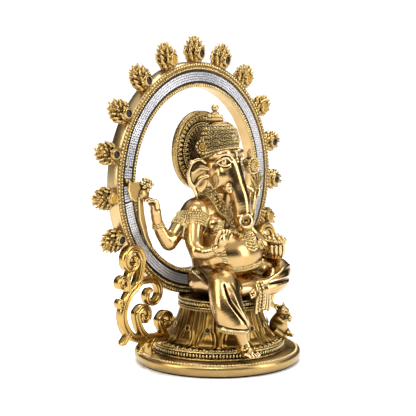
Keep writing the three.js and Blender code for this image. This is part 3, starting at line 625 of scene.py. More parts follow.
wall = seat_wall()
caps = [np.concatenate([wall[:, :1] * [0, 0, 1] + centre, wall[:, :1]], 1),
        np.concatenate([wall[:, -1:], wall[:, -1:] * [0, 0, 1] + centre], 1)]
seat_beads = ring_of(BEAD, 96, 36.4, 53.6, [0.8, 0.7, 1.1], THRONE_Y)
piece("seat_cast", join(grid_shape(wall, wrap_u=True), *[grid_shape(c, wrap_u=True) for c in caps],
                        seat_beads),
      CHASED, ["seat_slab"])

# %% [markdown]
# ## Aureole
# The ring is turned about the line along Y. Its front has a channel for the crystals and a beaded border
# on each side of it, and its back is plain.
# It could be a bent casting, but turning gives the even gleam that a lathe leaves. The dark lines beside
# the channel are thin cords in a dark colour, painted shadow of the gaps there.

# %% The ring's measures and copies round it
RING_Z = (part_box("aureole_frame")[0].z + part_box("aureole_frame")[1].z) / 2 / MM
RING_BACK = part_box("aureole_frame")[1].y / MM
OUTER = 99.96
INNER = 78.3
CENTRE = (0, RING_Z)


def round_ring(unit, angles, radius, y, sizes, lean=0.0):
    """Copies on the ring's front at the angles from the top: z axis to the front, x axis along the ring."""
    t = np.radians(angles)
    out = np.stack([np.sin(t), 0 * t, np.cos(t)], -1)
    along = np.stack([np.cos(t), 0 * t, -np.sin(t)], -1)
    spots = out * radius + [0, y, RING_Z]
    front = np.array([0, -1.0, 0]) * (1 - abs(lean)) + out * lean
    return scatter(unit, spots, frames(front, along), np.tile(sizes, (len(t), 1)))


def full(count):
    """Even angles round the whole ring, in degrees."""
    return np.arange(count) * 360 / count

# %% Walls, beads and painted seam shadows
profile = [[INNER, RING_BACK - 0.4], [INNER, 22.2], [INNER + 0.2, 21.6], [INNER + 0.8, 21.2], [82.6, 21.1],
           [83.0, 21.4], [83.1, 23.4], [92.0, 23.4], [92.1, 21.4], [92.5, 21.1], [99.2, 21.2], [99.8, 21.6],
           [OUTER, 22.3], [OUTER, RING_BACK - 0.5], [99.5, RING_BACK], [INNER + 0.5, RING_BACK],
           [INNER, RING_BACK - 0.4]]
hoop_wall = lathe(profile, 400, CENTRE, "y")
big = round_ring(BEAD, full(196), 97.9, 21.3, [1.5, 1.35, 1.2], 0.2)
fine = round_ring(BEAD, full(250), 94.6, 21.1, [1.05, 0.95, 0.9])
notch = round_ring(BEAD, full(210), 80.4, 21.3, [0.95, 1.6, 1.1], -0.15)
piece("aureole_wall", hoop_wall, WALL, ["aureole_frame"])
piece("aureole_beads", join(big, fine, notch), CHASED, ["aureole_frame"])
# Thin dark cords along both edges of the crystal channel: painted shadow of the gaps beside the crystals.
seam_shadows = [tube(hoop([0, 21.25, RING_Z], [0, -1.0, 0], r, 300)[np.r_[0:300, 0:2]], 0.55,
              8) for r in (82.75, 92.7)]
piece("aureole_seam_shadows", join(*seam_shadows), SEAM_SHADE, ["aureole_frame"])
beds = [lathe([[a, 21.4], [a, 20.95], [b, 20.95], [b, 21.4], [a, 21.4]], 300, CENTRE, "y") for a,
        b in ((79.2, 82.3), (93.1, 99.3))]
piece("aureole_beds", join(*beds), BED, ["aureole_frame"])

# %% [markdown]
# ## Crystal bands
# Four rows of square cut stones on a dark foil, in five bands with gaps between them, as laid by hand
# from strips. Each stone has a girdle, four slopes and a table, which is enough to glitter.

# %% Cut stones in rows
STONE_PITCH = 2.07
FIRST_ROW = 84.45
ARCS = {"top": (-79.5, 92), "chip": (-86, -80.2), "sliver": (-98.2, -90), "right": (-171, -99),
        "left": (93, 171)}


def cut_stone():
    """A square stone: a girdle, a sloping crown and a flat table."""
    rings = [(1.0, 0.0), (1.0, 0.45), (0.55, 1.0)]
    corners = np.array([[-1, -1], [1, -1], [1, 1], [-1, 1]], float)
    points = np.vstack([np.column_stack([corners * r, np.full(4, h)]) for r, h in rings])
    quads = [[a + 4 * k, (a + 1) % 4 + 4 * k, (a + 1) % 4 + 4 * k + 4,
              a + 4 * k + 4] for k in (0, 1) for a in range(4)]
    return points, [np.array(quads + [[8, 9, 10, 11]])]


for name, (a, b) in ARCS.items():
    rows = []
    for row in range(4):
        radius = FIRST_ROW + STONE_PITCH * row
        count = max(2, int(round(math.radians(b - a) * radius / STONE_PITCH)))
        spots = a + (np.arange(count) + 0.5) * (b - a) / count
        loose = rng.normal(0, 0.05, count)
        rows.append(round_ring(cut_stone(), spots + loose, radius, 21.7, [0.86, 0.86, 0.75]))
    t = np.radians(np.linspace(a, b, 60))[:, None]
    r = np.array([83.4, 83.4, 91.7, 91.7, 83.4])[None]
    y = np.array([23.1, 21.7, 21.7, 23.1, 23.1])[None] + 0 * t
    back = grid_shape(np.stack([r * np.sin(t), y, RING_Z + r * np.cos(t)], -1))
    piece(f"crystals_{name}", join(*rows), STONE, [f"crystal_band_{name}"], smooth=False)
    piece(f"crystal_foil_{name}", back, FOIL, [f"crystal_band_{name}"], smooth=False)

# %% [markdown]
# ## Finials
# Thirteen alike buds stand round the ring. One is sculpted upright, with tiers of leaves round a core and
# a cup with an oval stone, and then turned to each place, as castings from one mould would be.

# %% One bud, thirteen times
FINIALS = 13
FINIAL_TURN = 18.9
FINIAL_Y = 26.2


def finial_block():
    """A tapering core, five tiers of pointed leaves, and a dished cup at the front."""
    block = clay([-12, -11, -7], [12, 11, 25], 0.42)
    limb(block, [[0, 0, -1, 4.2], [0, 0, 4, 6.6], [0, 0, 9, 6.8], [0, 0, 15, 4.6], [0, 0, 20, 1.8]], 0.6)
    for tier, (z, reach, count, size) in enumerate([(2.0, 6.6, 9, 2.3), (5.8, 8.0, 10, 2.4),
                                                    (9.8, 7.7, 9, 2.3),
                                                    (13.8, 5.9, 8, 2.0), (17.4, 3.6, 5, 1.7)]):
        for k in range(count):
            t = (k + 0.5 * (tier % 2)) * 2 * math.pi / count
            x, y = math.cos(t), math.sin(t) * 0.9
            limb(block, [[x * reach * 0.7, y * reach * 0.7, z - 1.2, size],
                         [x * reach, y * reach, z + 0.6, size * 0.75],
                         [x * (reach + 1.4), y * (reach + 1.4), z + 3.2, size * 0.3]], 0.6)
    lump(block, [0, -7.4, 6.4], [5.0, 2.6, 5.6], 0.6)
    lump(block, [0, -10.4, 6.4], [3.5, 2.4, 4.1], 0.4, dig=True)
    return block


finial = skin(finial_block())
gem = placed(bead(16, 10), [3.3, 1.3, 3.9], [0, -8.6, 6.4])
for k in range(FINIALS):
    a = math.radians((k - FINIALS // 2) * FINIAL_TURN)
    turn = np.array([[math.cos(a), 0, math.sin(a)], [0, 1, 0], [-math.sin(a), 0, math.cos(a)]])
    spot = np.array([0, FINIAL_Y, RING_Z]) + turn @ [0, 0, OUTER + 0.8]
    name = f"finial_{k + 1:02d}"
    piece(f"{name}_cast", (finial[0] @ turn.T + spot, finial[1]), SPIRE, [name])
    piece(f"{name}_stone", (gem[0] @ turn.T + spot, gem[1]), AMBER if k % 4 == 1 or k in (8, 12) else DARK,
          [name])

# %% [markdown]
# ## Scroll brackets
# Cast scrolls brace the ring on each side. A strap with two raised borders is carried along spirals, and
# a small ball closes each curl. The second is the first one mirrored, with its faces turned back.
# They could be cut from a flat outline, but the raised borders catch the light, so a strap is used.

# %% Strap and spirals
SCROLL_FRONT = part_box("scroll_left")[0].y / MM
SCROLL_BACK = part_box("scroll_left")[1].y / MM


def volute(cx, cz, r0, r1, a0, a1):
    """A spiral [x, z]: radius and angle both change evenly from their first to their last value."""
    t = np.linspace(0, 1, max(3, int(abs(a1 - a0) / 25)))
    angle = np.radians(a0 + (a1 - a0) * t)
    r = r0 + (r1 - r0) * t
    return np.stack([cx + r * np.cos(angle), cz + r * np.sin(angle)], -1).tolist()


def strap(points, width, end=0.7, start=1.0, front=0.0):
    """The strap's section, across s and to the front, is two ridges at s = +-0.6 and a hollow between."""
    path = np.array([[x, 0, z, 1] for x, z in points], float)
    path = through(path, len(points) * 6)[:, [0, 2]]
    run = np.linspace(0, 1, len(path))
    w = width * (start + (end - start) * run)[:, None] / 2
    w[[0, -1]] *= 0.3
    way = np.gradient(path, axis=0)
    way /= np.linalg.norm(way, axis=1, keepdims=True)
    side = np.stack([-way[:, 1], way[:, 0]], -1)
    s = np.array([-0.7, -1, -1.02, -0.9, -0.6, -0.3, 0, 0.3, 0.6, 0.9, 1.02, 1, 0.7])
    y = np.array([SCROLL_BACK, SCROLL_BACK - 0.8, 14.8, 13.5, 12.7, 13.4, 13.8, 13.4, 12.7, 13.5, 14.8,
                  SCROLL_BACK - 0.8, SCROLL_BACK]) + front
    x = path[:, :1] + side[:, :1] * w * s
    z = path[:, 1:] + side[:, 1:] * w * s
    body = grid_shape(np.stack([x, np.broadcast_to(y, x.shape), z], -1), wrap_v=True)
    tip = path[-1]
    ball = placed(bead(12, 8), [width * 0.42, 3.6, width * 0.42],
                  [tip[0], (SCROLL_FRONT + SCROLL_BACK) / 2 + front, tip[1]])
    return join(body, ball)

# %% The bracket
def scroll_shape():
    """One bracket: a stem with a large curl, and smaller straps that leave it."""
    z = PLATE_TOP + 0.3
    stem = [*volute(89.5, z + 83.6, 4.5, 11.5, -190, 190), [83, z + 64], [93, z + 56], [100, z + 44],
            [99, z + 32], [91, z + 21.5], [78, z + 17], [62, z + 15], [47, z + 14.5]][::-1]
    middle = [[88, z + 59], [80, z + 65], *volute(67, z + 53, 12.5, 3.5, 75, 430)]
    lower = [[72, z + 17], [80, z + 25], *volute(76, z + 36, 8.8, 2.2, 10, 380)]
    near = [[50, z + 15], [54, z + 22], *volute(49, z + 27, 8.6, 2.2, 8, 370)]
    knob = [[94, z + 58], *volute(101, z + 66, 5.6, 2.6, 170, -120)]
    low = [[99, z + 47], *volute(101.5, z + 51, 3.8, 2, -70, 60)]
    toe = [[62, z + 15], [72, z + 14], [78, z + 10.5], [80, z + 6]]
    foot = [[63, z + 15], [68.5, z + 9], [66.5, z + 3]]
    tail = [[93, z + 24], [97, z + 20], [101, z + 16.5]]
    leaf = [[86, z + 78], [92, z + 73], [95, z + 66]]
    parts = [strap(stem, 7.4, 0.75), strap(middle, 6.2, 0.65), strap(lower, 5.8, 0.65),
             strap(near, 5.6, 0.65),
             strap(knob, 4.2, 0.7), strap(low, 4.0, 0.8), strap(toe, 4.6, 0.7), strap(foot, 6.4, 0.9),
             strap(tail, 4.6, 0.8), strap(leaf, 5.0, 0.6, front=0.5)]
    return join(*parts)


right_way = scroll_shape()
mirror = (right_way[0] * [-1, 1, 1], [g[:, ::-1] for g in right_way[1]])
piece("scroll_left_cast", right_way, SCROLL, ["scroll_left"])
piece("scroll_right_cast", mirror, SCROLL, ["scroll_right"])

# %% [markdown]
# ## Halo
# A dished disc behind the head. Its rim is plain, and its petals and small leaves are a height over the
# turn and the radius.
# They could be single leaves, but at this size a formula gives the same edges with far fewer parts.

# %% Halo
HALO_Z = 179.6
HALO_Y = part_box("halo_disc")[1].y / MM - 5.8


def halo_face():
    """The front: y over the turn a and the radius r, lifted by petals, a band and leaves."""
    a = np.linspace(0, 2 * np.pi, 720, endpoint=False)[:, None]
    r = np.concatenate([np.linspace(33.9, 30.6, 6), np.linspace(30.4, 9, 70)])[None, :]
    notch = np.abs(np.sin(22 * a))
    petal = 2.3 * np.clip(1 - ((r - 27.2) / (3.2 * (0.55 + 0.45 * notch))) ** 2, 0,
                          1) * (0.35 + 0.65 * notch)
    bandlet = 0.8 * np.exp(-((r - 22.6) / 0.5) ** 2)
    inner = 2.0 * np.clip(1 - ((r - 18.2) / 3.3) ** 2, 0, 1) * np.abs(np.sin(16 * a + 0.4))
    lip = np.clip((r - 30.5) / 0.3, 0, 1) * 1.5 - np.clip((r - 33.0) / 0.9, 0, 1) ** 2 * 0.8
    y = HALO_Y + 1.4 - petal - bandlet - inner - lip
    return np.stack([r * np.sin(a), y, HALO_Z + r * np.cos(a)], -1)


face = halo_face()
edge = face[:, :1] * [1, 0, 1] + [0, HALO_Y + 5.0, 0]
back_rim = (face[:, :1] - [0, 0, HALO_Z]) * [0.97, 0, 0.97] + [0, HALO_Y + 5.7, HALO_Z]
hub = np.zeros_like(edge) + [0, HALO_Y + 5.7, HALO_Z]
middle = np.zeros_like(edge) + [0, HALO_Y + 1, HALO_Z]
disc = grid_shape(np.concatenate([hub, back_rim, edge, face, middle], 1)[:, ::-1], wrap_u=True)


def on_halo(count, radius, sizes):
    """Beads in a circle on the disc, facing the front."""
    t = np.radians(full(count))
    out = np.stack([np.sin(t), 0 * t, np.cos(t)], -1)
    along = np.stack([np.cos(t), 0 * t, -np.sin(t)], -1)
    spots = out * radius + [0, HALO_Y + 0.5, HALO_Z]
    return scatter(BEAD, spots, frames(np.tile([0, -1.0, 0], (count, 1)), along),
                   np.tile(sizes, (count, 1)))


piece("halo_cast", join(disc, on_halo(110, 30.2, [0.8, 0.7, 1.0]), on_halo(84, 23.6, [0.8, 0.7, 1.2]),
                        on_halo(76, 21.5, [0.8, 0.7, 1.2])), CHASED, ["halo_disc"])

# %% [markdown]
# ## The body and its four arms
# The belly, chest, shoulders and arms are one skin of metal. They are sculpted in one block, so they melt
# together without seams, and hands are palms with four fingers and a thumb.

# %% Torso
BODY_STEP = 0.55


def torso_clay(step):
    """Belly, hips, chest, shoulders and neck as ellipsoids and rods that melt together."""
    block = clay([-80, -52, 54], [80, 24, 160], step)
    lump(block, [0, -13.5, 93.7], [32, 26.5, 22], 3)
    lump(block, [0, 0, 97], [29.5, 20, 26], 6)
    lump(block, [0, -1, 72], [34, 20, 15.5], 6)
    lump(block, [0, 4.5, 124], [27, 15.8, 21], 7)
    limb(block, [[-23, 4, 130, 11.6], [23, 4, 130, 11.6]], 6)
    limb(block, [[0, 3, 135, 12.5], [0, -3, 150, 10.5]], 5)
    lump(block, [-12, -10.5, 119], [11.5, 7, 8.5], 4)
    lump(block, [12, -10.5, 119], [11.5, 7, 8.5], 4)
    return block

# %% Arms and hands
def arms(block):
    """Four arms: a rod from shoulder to elbow and a rod from elbow to wrist for each."""
    limb(block, [[-26, 3, 129, 9.6], [-31, 0, 119, 8.6], [-38, -6, 106, 7.4], [-40, -12, 99.5, 7.0]], 2.5,
         count=12)
    limb(block, [[-40, -12, 99.5, 6.8], [-38.6, -20, 98.6, 6.0], [-37, -27, 101, 4.8],
                 [-36, -31.5, 103.5, 4.2]], 2, count=10)
    limb(block, [[26, 3, 129, 9.6], [31, 0, 119, 8.6], [38, -6, 106, 7.4], [41, -13, 98, 6.8]], 2.5,
         count=12)
    limb(block, [[41, -13, 98, 6.6], [40, -20, 94, 5.8], [38.6, -27, 91.5, 4.9]], 2, count=8)
    for side in (-1, 1):
        limb(block, [[side * 25, 7, 129, 9.2], [side * 35, 9, 121, 7.8], [side * 45, 10, 110.5, 6.9],
                     [side * 50.5, 10.5, 106, 6.5]], 3, count=12)
        limb(block, [[side * 50.5, 10.5, 106, 6.4], [side * 54.5, 11.5, 110.5, 6.2],
                     [side * 59, 12.3, 117, 5.3],
                     [side * 62, 13, 124, 4.2], [side * 63, 13, 128, 4.2]], 2.5, count=12)


def hand(block, wrist, palm, across, out, fingers, thumb, reach=1.0, curl=0.0):
    """A palm with four fingers in a row and a thumb. across and out are the palm's own directions."""
    wrist, palm, across, out = (np.array(v, float) for v in (wrist, palm, across, out))
    up = (palm - wrist) / np.linalg.norm(palm - wrist)
    limb(block, [[*wrist, 4.0], [*palm, 4.3]], 1.2)
    for k, length in enumerate(fingers):
        root = palm + across * (k - 1.5) * 2.9
        knuckle = root + up * 3.6
        mid = knuckle + (up * (1 - curl * 0.6) + out * curl) * length * 0.45 * reach
        tip = mid + (up * (1 - curl * 1.4) + out * curl * 1.4) * length * 0.5 * reach
        limb(block, [[*(root - up * 1.5), 2.0], [*knuckle, 1.95], [*mid, 1.75], [*tip, 1.35]], 0.35)
    root = palm + across * thumb * 3.8 - up * 2.5
    limb(block, [[*root, 2.2], [*(root + across * thumb * 2.6 + up * 3.5 + out), 1.9],
                 [*(root + across * thumb * 2.8 + up * 7.5 + out * 2), 1.5]], 0.5)

# %% The body is put together
body = torso_clay(BODY_STEP)
arms(body)
hand(body, [-36, -31.5, 103.5], [-35, -33.0, 109.5], [0.93, -0.36, 0], [-0.3, -0.85, 0], [6.5, 7.6, 7.2, 6],
     1, 0.95, 0.15)
lump(body, [-34.5, -35.5, 111], [4.8, 2.4, 5.0], 1.5)
for side in (-1, 1):
    limb(body, [[side * 62.5, 13, 126, 4.2], [side * 64, 12.8, 132.5, 4.6]], 1.5)
    hand(body, [side * 64, 12.8, 132.5], [side * 65.2, 12.6, 138.0], [side * 0.35, -0.94, 0],
         [side * 0.94, 0.35, 0],
         [8, 9, 8.6, 7], -1, 1.0, 0.85)
hand(body, [38.6, -27, 91.5], [37.6, -32.5, 90.8], [0.25, 0, -0.97], [0.2, -0.3, 0.95], [7, 8, 8, 7], -1,
     0.6, 0.4)
limb(body, [[-27.5, -13, 114, 0.5], [-20, -19.5, 110, 0.6], [-10, -24, 109.2, 0.5], [0, -25.6, 110.6, 0.4]],
     1.6, dig=True, count=16)
body_skin = skin(body)
piece("body_cast", body_skin, POLISHED, ["torso", "arm_front_right", "arm_front_left", "arm_rear_right",
                                         "arm_rear_left"])

# %% [markdown]
# ## The legs in their cloth
# One leg hangs and one is folded, both under a cloth. The cloth clings, so it is the leg's own shape with
# a few folds dug and raised along curves on the skin, and the cloth ends in a corded hem.

# %% Legs
legs = clay([-50, -70, 13], [62, 14, 92], BODY_STEP)
limb(legs, [[-19, -2, 72.5, 14.4], [-25, -18, 74, 13.4], [-29, -30, 72.5, 13.2], [-33, -36, 62, 13.4],
            [-34.5, -39.5, 54, 13.4], [-34, -42.5, 47, 13.2], [-33, -44.5, 42, 13.0]], 3, count=26)
lump(legs, [-33, -44.5, 22.5], [25, 23, 14.5], 2.0, dig=True)
limb(legs, [[20, -4, 72.5, 14.2], [33, -18, 74, 13.6], [43, -30, 72.8, 13.2]], 3, count=14)
limb(legs, [[43, -30, 72.8, 12.8], [33, -39, 70, 11.0], [22, -43.5, 67, 8.6], [10, -43.5, 65, 7.0]], 3,
     count=18)
lump(legs, [0, -24, 66.5], [30, 20, 9.5], 5)
limb(legs, [[-29.5, -46.5, 40, 7.0], [-27.4, -51, 26, 4.9]], 1.0)

# %% Folds and hem
def crease(block, path, radius=0.7, k=1.0, depth=0.2, count=30):
    """Digs a fold: a rod along a path on the skin, thin at both ends."""
    line, _ = settle(block, through(path, count), -depth)
    fade = np.sin(np.linspace(0.12, np.pi - 0.12, count)) ** 0.5
    limb(block, np.column_stack([line, radius * fade]), k, dig=True)


def ridge(block, path, radius=1.0, k=1.5, level=-0.3, count=30):
    """Raises a fold: a rod along a path on the skin, thin at both ends."""
    line, _ = settle(block, through(path, count), level)
    fade = np.sin(np.linspace(0.12, np.pi - 0.12, count)) ** 0.5
    limb(block, np.column_stack([line, radius * fade]), k)


crease(legs, [[-37, -38, 73], [-39, -45, 60], [-36, -52, 50], [-30, -57, 41]], 1.3, 1.6, 0.8)
ridge(legs, [[-34, -40, 73], [-35.5, -48, 60], [-32.5, -54, 50], [-27, -58, 42]], 1.4, 2.2)
crease(legs, [[-22, -38, 70], [-21, -48, 58], [-20.5, -53, 50]], 1.2, 2.2, 0.8)
crease(legs, [[-26, 6, 82], [-36, -10, 80], [-41, -22, 74]], 1.8, 2.5, 1.1)
ridge(legs, [[14, -46, 71], [28, -46, 76], [42, -40, 78], [54, -30, 74]], 1.3, 2.0)
crease(legs, [[12, -46, 67.5], [27, -48, 69.5], [42, -43, 70], [54, -34, 69]], 1.5, 2.0, 1.0)
hem, _ = settle(legs, hoop([-32.5, -45, 38.6], [0.06, -0.1, 0.99], 14, 90), 0.2)
limb(legs, np.column_stack([np.vstack([hem, hem[:1]]), np.full(91, 0.95)]), 0.5)
hem_low, _ = settle(legs, hoop([-32.5, -45, 40.8], [0.06, -0.1, 0.99], 14, 90), 0.0)
limb(legs, np.column_stack([np.vstack([hem_low, hem_low[:1]]), np.full(91, 0.55)]), 0.4, dig=True)
leg_skin = skin(legs)
piece("dhoti_cast", leg_skin, POLISHED, ["leg_pendant", "leg_folded"])

# %% [markdown]
# ## Feet
# Bare feet with rods for toes, sculpted in a finer block because the toes are small.
# One foot hangs over the throne and the other lies on the seat. They could be part of the legs' block,
# but that grid is too coarse for toes.

# %% Feet
feet = clay([-38, -66, 12], [12, -32, 76], 0.4)
limb(feet, [[-26.6, -49.5, 33, 5.0], [-26.8, -51, 26.5, 4.6], [-27, -53, 22.5, 4.8]], 1)
limb(feet, [[-26.6, -47, 21, 4.4], [-27, -52, 20.5, 4.8], [-27.6, -57, 18.6, 4.6]], 1.5)
lump(feet, [-27.6, -57.5, 18.2], [6.6, 5, 3.2], 1.5)
for k, (x, y, r) in enumerate([(-22.4, -62, 1.9), (-25.2, -63.2, 1.5), (-27.8, -63.4, 1.45),
                               (-30.3, -62.8, 1.4),
                               (-32.6, -61.4, 1.3)]):
    limb(feet, [[x - 0.2, y + 4.5, 18.2, r], [x, y + 1, 17.6, r], [x, y - 0.4, 16.8, r * 0.95]], 0.35)
limb(feet, [[6, -42, 65, 5], [0, -42.5, 64, 4.6], [-5, -42.5, 62.8, 4.2]], 1.5)
for k in range(5):
    limb(feet, [[-5.5, -44.8 + k * 1.1, 61 + k * 1.2, 1.3],
                [-9.4 + k * 0.3, -44.6 + k * 0.9, 60.3 + k * 1.5, 1.15]], 0.35)
piece("feet_cast", skin(feet), POLISHED, ["leg_pendant", "leg_folded"])

# %% [markdown]
# ## The head
# Forehead domes, a brow, deep eye sockets, cheeks, and a trunk that tapers and ends in a
# curled, cupped tip. Lids are thin rods laid over the sockets.
# A head pushed out of a ball would need many loops round the eyes, so it is sculpted like the body, in a
# block of its own.

# %% Head
TRUNK = [[0, -12.5, 169, 9.6], [0, -16.5, 160, 9.2], [0, -19.8, 152, 8.6], [0, -23.3, 145, 8.3],
         [0, -25.6, 138, 8.2],
         [0, -26.9, 131, 7.7], [-0.6, -27.8, 125, 7.5], [-1.6, -29.4, 120.8, 7.4],
         [-2.5, -32.0, 120.2, 6.8],
         [-3.2, -33.9, 122.4, 6.2]]
head = clay([-26, -46, 106], [26, 22, 190], 0.45)
lump(head, [0, -4, 165], [17.6, 15.5, 18.5], 2)
lump(head, [-6.2, -11.5, 174.5], [9.2, 8, 8.6], 3)
lump(head, [6.2, -11.5, 174.5], [9.2, 8, 8.6], 3)
lump(head, [0, -7, 154], [14.6, 13.5, 11], 4)
for side in (-1, 1):
    lump(head, [side * 9.2, -13.6, 160], [6.8, 6.4, 9], 3)
    limb(head, [[side * 3, -17.8, 178.6, 2.2], [side * 9, -17.4, 179.6, 2.5],
                [side * 15, -12.8, 178.2, 2.2],
                [side * 17, -7, 175.6, 1.6]], 3.5, count=12)
limb(head, TRUNK, 3.5, count=30)
for side in (-1, 1):
    lump(head, [side * 10.6, -17.6, 172.0], [6.6, 3.4, 4.9], 1.6, dig=True)
    limb(head, [[side * 4.6, -19.6, 170.8, 0.8], [side * 9.6, -18.9, 175.0, 1.15],
                [side * 13.4, -15.8, 174.2, 1.05],
                [side * 16, -12.4, 171.2, 0.6]], 0.7, count=14)
    limb(head, [[side * 4.6, -19.6, 170.8, 0.7], [side * 9.8, -18.4, 168.9, 1.05],
                [side * 13.4, -15.4, 169.2, 0.95],
                [side * 16, -12.4, 171.2, 0.5]], 0.7, count=14)
    limb(head, [[side * 7.6, -17.5, 153, 3.6], [side * 8.8, -19.5, 151, 3.2]], 1.8)
    limb(head, [[side * 6.4, -18, 159, 1.2], [side * 12, -14, 154, 1.5], [side * 13.6, -8, 149, 1.4]], 3.0,
         count=10)
tip = through(TRUNK, 200)[-1, :3]
mouth = np.array([-0.76, -0.58, 0.3])
lump(head, tip, [6.6, 6.4, 6.6], 2.0)
lump(head, tip + mouth * 5.4 + [0, 0, 0.8], [4.6, 4.6, 5.4], 2.2, dig=True)
limb(head, [[-4, -19, 146.5, 2.2], [0, -20.5, 144.6, 2.6], [4, -19, 146.5, 2.2]], 1.5)
head_skin = skin(head)
piece("head_cast", head_skin, POLISHED, ["head"])

# %% Eyes and brow chain
eyes = [scatter(bead(18, 12), np.array([[side * 10.6, -15.6, 171.8]]),
                frames(np.array([[side * 0.5, -0.86, 0]]), Z_AXIS[None]),
                np.array([[4.5, 2.6, 2.2]])) for side in (-1, 1)]
pupils = [hoop([side * 11.7, -17.45, 171.8], [side * 0.5, -0.86, 0], 1.3, 24) for side in (-1, 1)]
brow_chain = bead_row(head, through([[0, -20, 182], [0, -22, 177], [0, -22, 172]], 20), 1.15, 2.0, 0.5)
piece("eye_cast", join(*eyes, *[tube(np.vstack([p, p[:2]]), 0.22) for p in pupils], brow_chain), POLISHED,
      ["head"])

# %% [markdown]
# ## Ears and tusks
# An ear is a thin flap, dished inside, with a rolled rim, two soft folds and a tail that hangs
# towards the shoulder. It is laid out in its own directions, so both sides use the same numbers. A tusk is a
# tapered cord, and the right one is broken short.

# %% Ears and tusks
def ear_skin(side):
    """A flap in its own directions u (outward and back), z and n (the face that shows)."""
    block = clay([-40 if side < 0 else 12, -10, 136], [-12 if side < 0 else 40, 16, 182], 0.42)
    u = np.array([side * 0.79, 0.62, 0])
    n = np.array([side * 0.62, -0.79, 0])
    root = np.array([side * 24, 2.5, 160.2])

    def at(x, z, lift=0.0):
        """The root plus x along u, z upward and lift along n."""
        return root + u * x + n * lift + np.array([0, 0, z])

    lump(block, at(0, 0), [10.6, 2.2, 16.4], 1, turn=(0, 0, side * 38))
    lump(block, at(-1, -1, 4.4), [8.2, 3.6, 12.8], 1.2, turn=(0, 0, side * 38), dig=True)
    outline = [at(-7, 12.5, 1), at(-1, 16, 1.2), at(6, 13, 1.6), at(9.6, 5, 1.8), at(8.8, -4, 1.6),
               at(5, -11, 1.2),
               at(2.5, -17, 0.8), at(1.5, -20.5, 0.4)]
    limb(block, [[*p, r] for p, r in zip(outline, (1.2, 1.5, 1.9, 1.7, 1.6, 1.7, 1.8, 1.1))], 1.0, count=30)
    for path in ([at(-9, 7, 2.0), at(-2, 8, 0.6), at(5, 4, 0.6)],
                 [at(-9, 0, 2.0), at(-2, -3, 0.6), at(4, -10, 0.6)]):
        limb(block, [[*p, r] for p, r in zip(path, (1.8, 1.5, 0.7))], 2.4, count=12)
    lump(block, at(6.5, 13.5, 2.2), [2.6, 2.0, 2.4], 0.8)
    points, faces = skin(block)
    inner = np.array([side * 17.5, -2.5, 158])
    return inner + (points - inner) * 0.87, faces


for side, name in ((-1, "right"), (1, "left")):
    piece(f"ear_{name}_cast", ear_skin(side), POLISHED, [f"ear_{name}"])
    long = 8 if side < 0 else 17
    line = through([[side * 8.4, -14, 150.8, 3.1], [side * 9, -19, 149.4, 2.9],
                    [side * 9.3, -15 - long * 0.75, 147.6, 2.4],
                    [side * 9, -15 - long, 148, 1.7 if side < 0 else 0.7]], 24)
    piece(f"tusk_{name}_cast", tube(line[:, :3], line[:, 3], 16), POLISHED, [f"tusk_{name}"])

# %% [markdown]
# ## Crown and knob
# The crown is a turned cap that hangs lower at the back. Its chased swirls are rings with a dot in
# each, as a height over the turn and the rise, and a rosette with a stone sits on each side
# and a small one in front.
# They could be modelled one by one, but a formula keeps their rows even. The knob is turned, with a ball
# on top.

# %% Crown
CROWN_Y = -2
CROWN_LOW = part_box("crown")[0].z / MM
CROWN_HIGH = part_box("crown")[1].z / MM


def crown_low(y):
    """The brow rim hangs lower at the back."""
    return CROWN_LOW - 4.5 * (1 + (y - CROWN_Y) / 16.5)


def crown_wall():
    """Radius over the turn a and the rise v: a domed base, rows of rings with dots, and leaves."""
    a = np.linspace(0, 2 * np.pi, 900, endpoint=False)[:, None]
    v = np.linspace(0, 1, 170)[None, :]
    base = np.interp(v, [0, 0.1, 0.3, 0.55, 0.78, 0.92, 1], [15.2, 16.0, 16.4, 16.0, 14.0, 10.4, 7.0])
    row = np.floor(v * 8)
    u = (a * 26 / (2 * np.pi) + 0.5 * (row % 2)) % 1 - 0.5
    d = 2 * np.sqrt(u ** 2 + (v * 8 - row - 0.5) ** 2)
    curl = 0.9 * np.exp(-((d - 0.72) / 0.2) ** 2) + 0.9 * np.exp(-(d / 0.3) ** 2)
    leaf = (1.3 * np.abs(np.cos(6 * a)) ** 0.5
            * np.exp(-((v - 0.3 - 0.12 * np.abs(np.cos(6 * a))) / 0.03) ** 2))
    r = base + curl * np.clip(v * 8 - 0.6, 0, 1) * np.clip((0.94 - v) / 0.06, 0, 1) + leaf
    y = CROWN_Y + r * np.sin(a)
    z = crown_low(y) + (CROWN_HIGH - crown_low(y)) * v
    return np.stack([r * np.cos(a), y, z], -1)


cap = crown_wall()
closed = np.concatenate([cap[:, :1] * [0, 0, 1] + [0, CROWN_Y, 0], cap,
                         cap[:, -1:] * [0, 0, 1] + [0, CROWN_Y, 0]], 1)
rim = [hoop([0, CROWN_Y, crown_low(CROWN_Y) + z], [0, 0.26, 0.965], r, 62) for z,
       r in ((0.4, 15.9), (3.0, 16.6))]
crown_beads = [scatter(BEAD, path, upright(62), 0.95) for path in rim]
spots = np.array([[-16.2, 2, 184], [16.2, 2, 184], [0, -17.8, 191]])
turns = frames(np.array([[-0.9, -0.42, 0.1], [0.9, -0.42, 0.1], [0, -1, 0.15]]), np.tile(Z_AXIS, (3, 1)))
sizes = np.array([[1.25], [1.25], [0.6]]) * np.ones(3)
rosette = join(lathe([[0.05, -1.6], [5.2, -1.6], [5.8, -0.4], [5.4, 0.3], [3.0, 0.7], [2.6, 1.7],
                      [2.0, 1.7], [1.7, 0.7], [0.05, 0.6]], 36),
               ring_of(BEAD, 12, 4.3, 0.9, [1.05, 1.05, 1.0]))
piece("crown_cast", join(grid_shape(closed, wrap_u=True), *crown_beads,
                         scatter(rosette, spots, turns, sizes)), CHASED, ["crown"])
jewel = placed(bead(14, 9), [1.75, 1.75, 1.2], [0, 0, 1.0])
piece("crown_stones", scatter(jewel, spots, turns, sizes), AMBER, ["crown"])

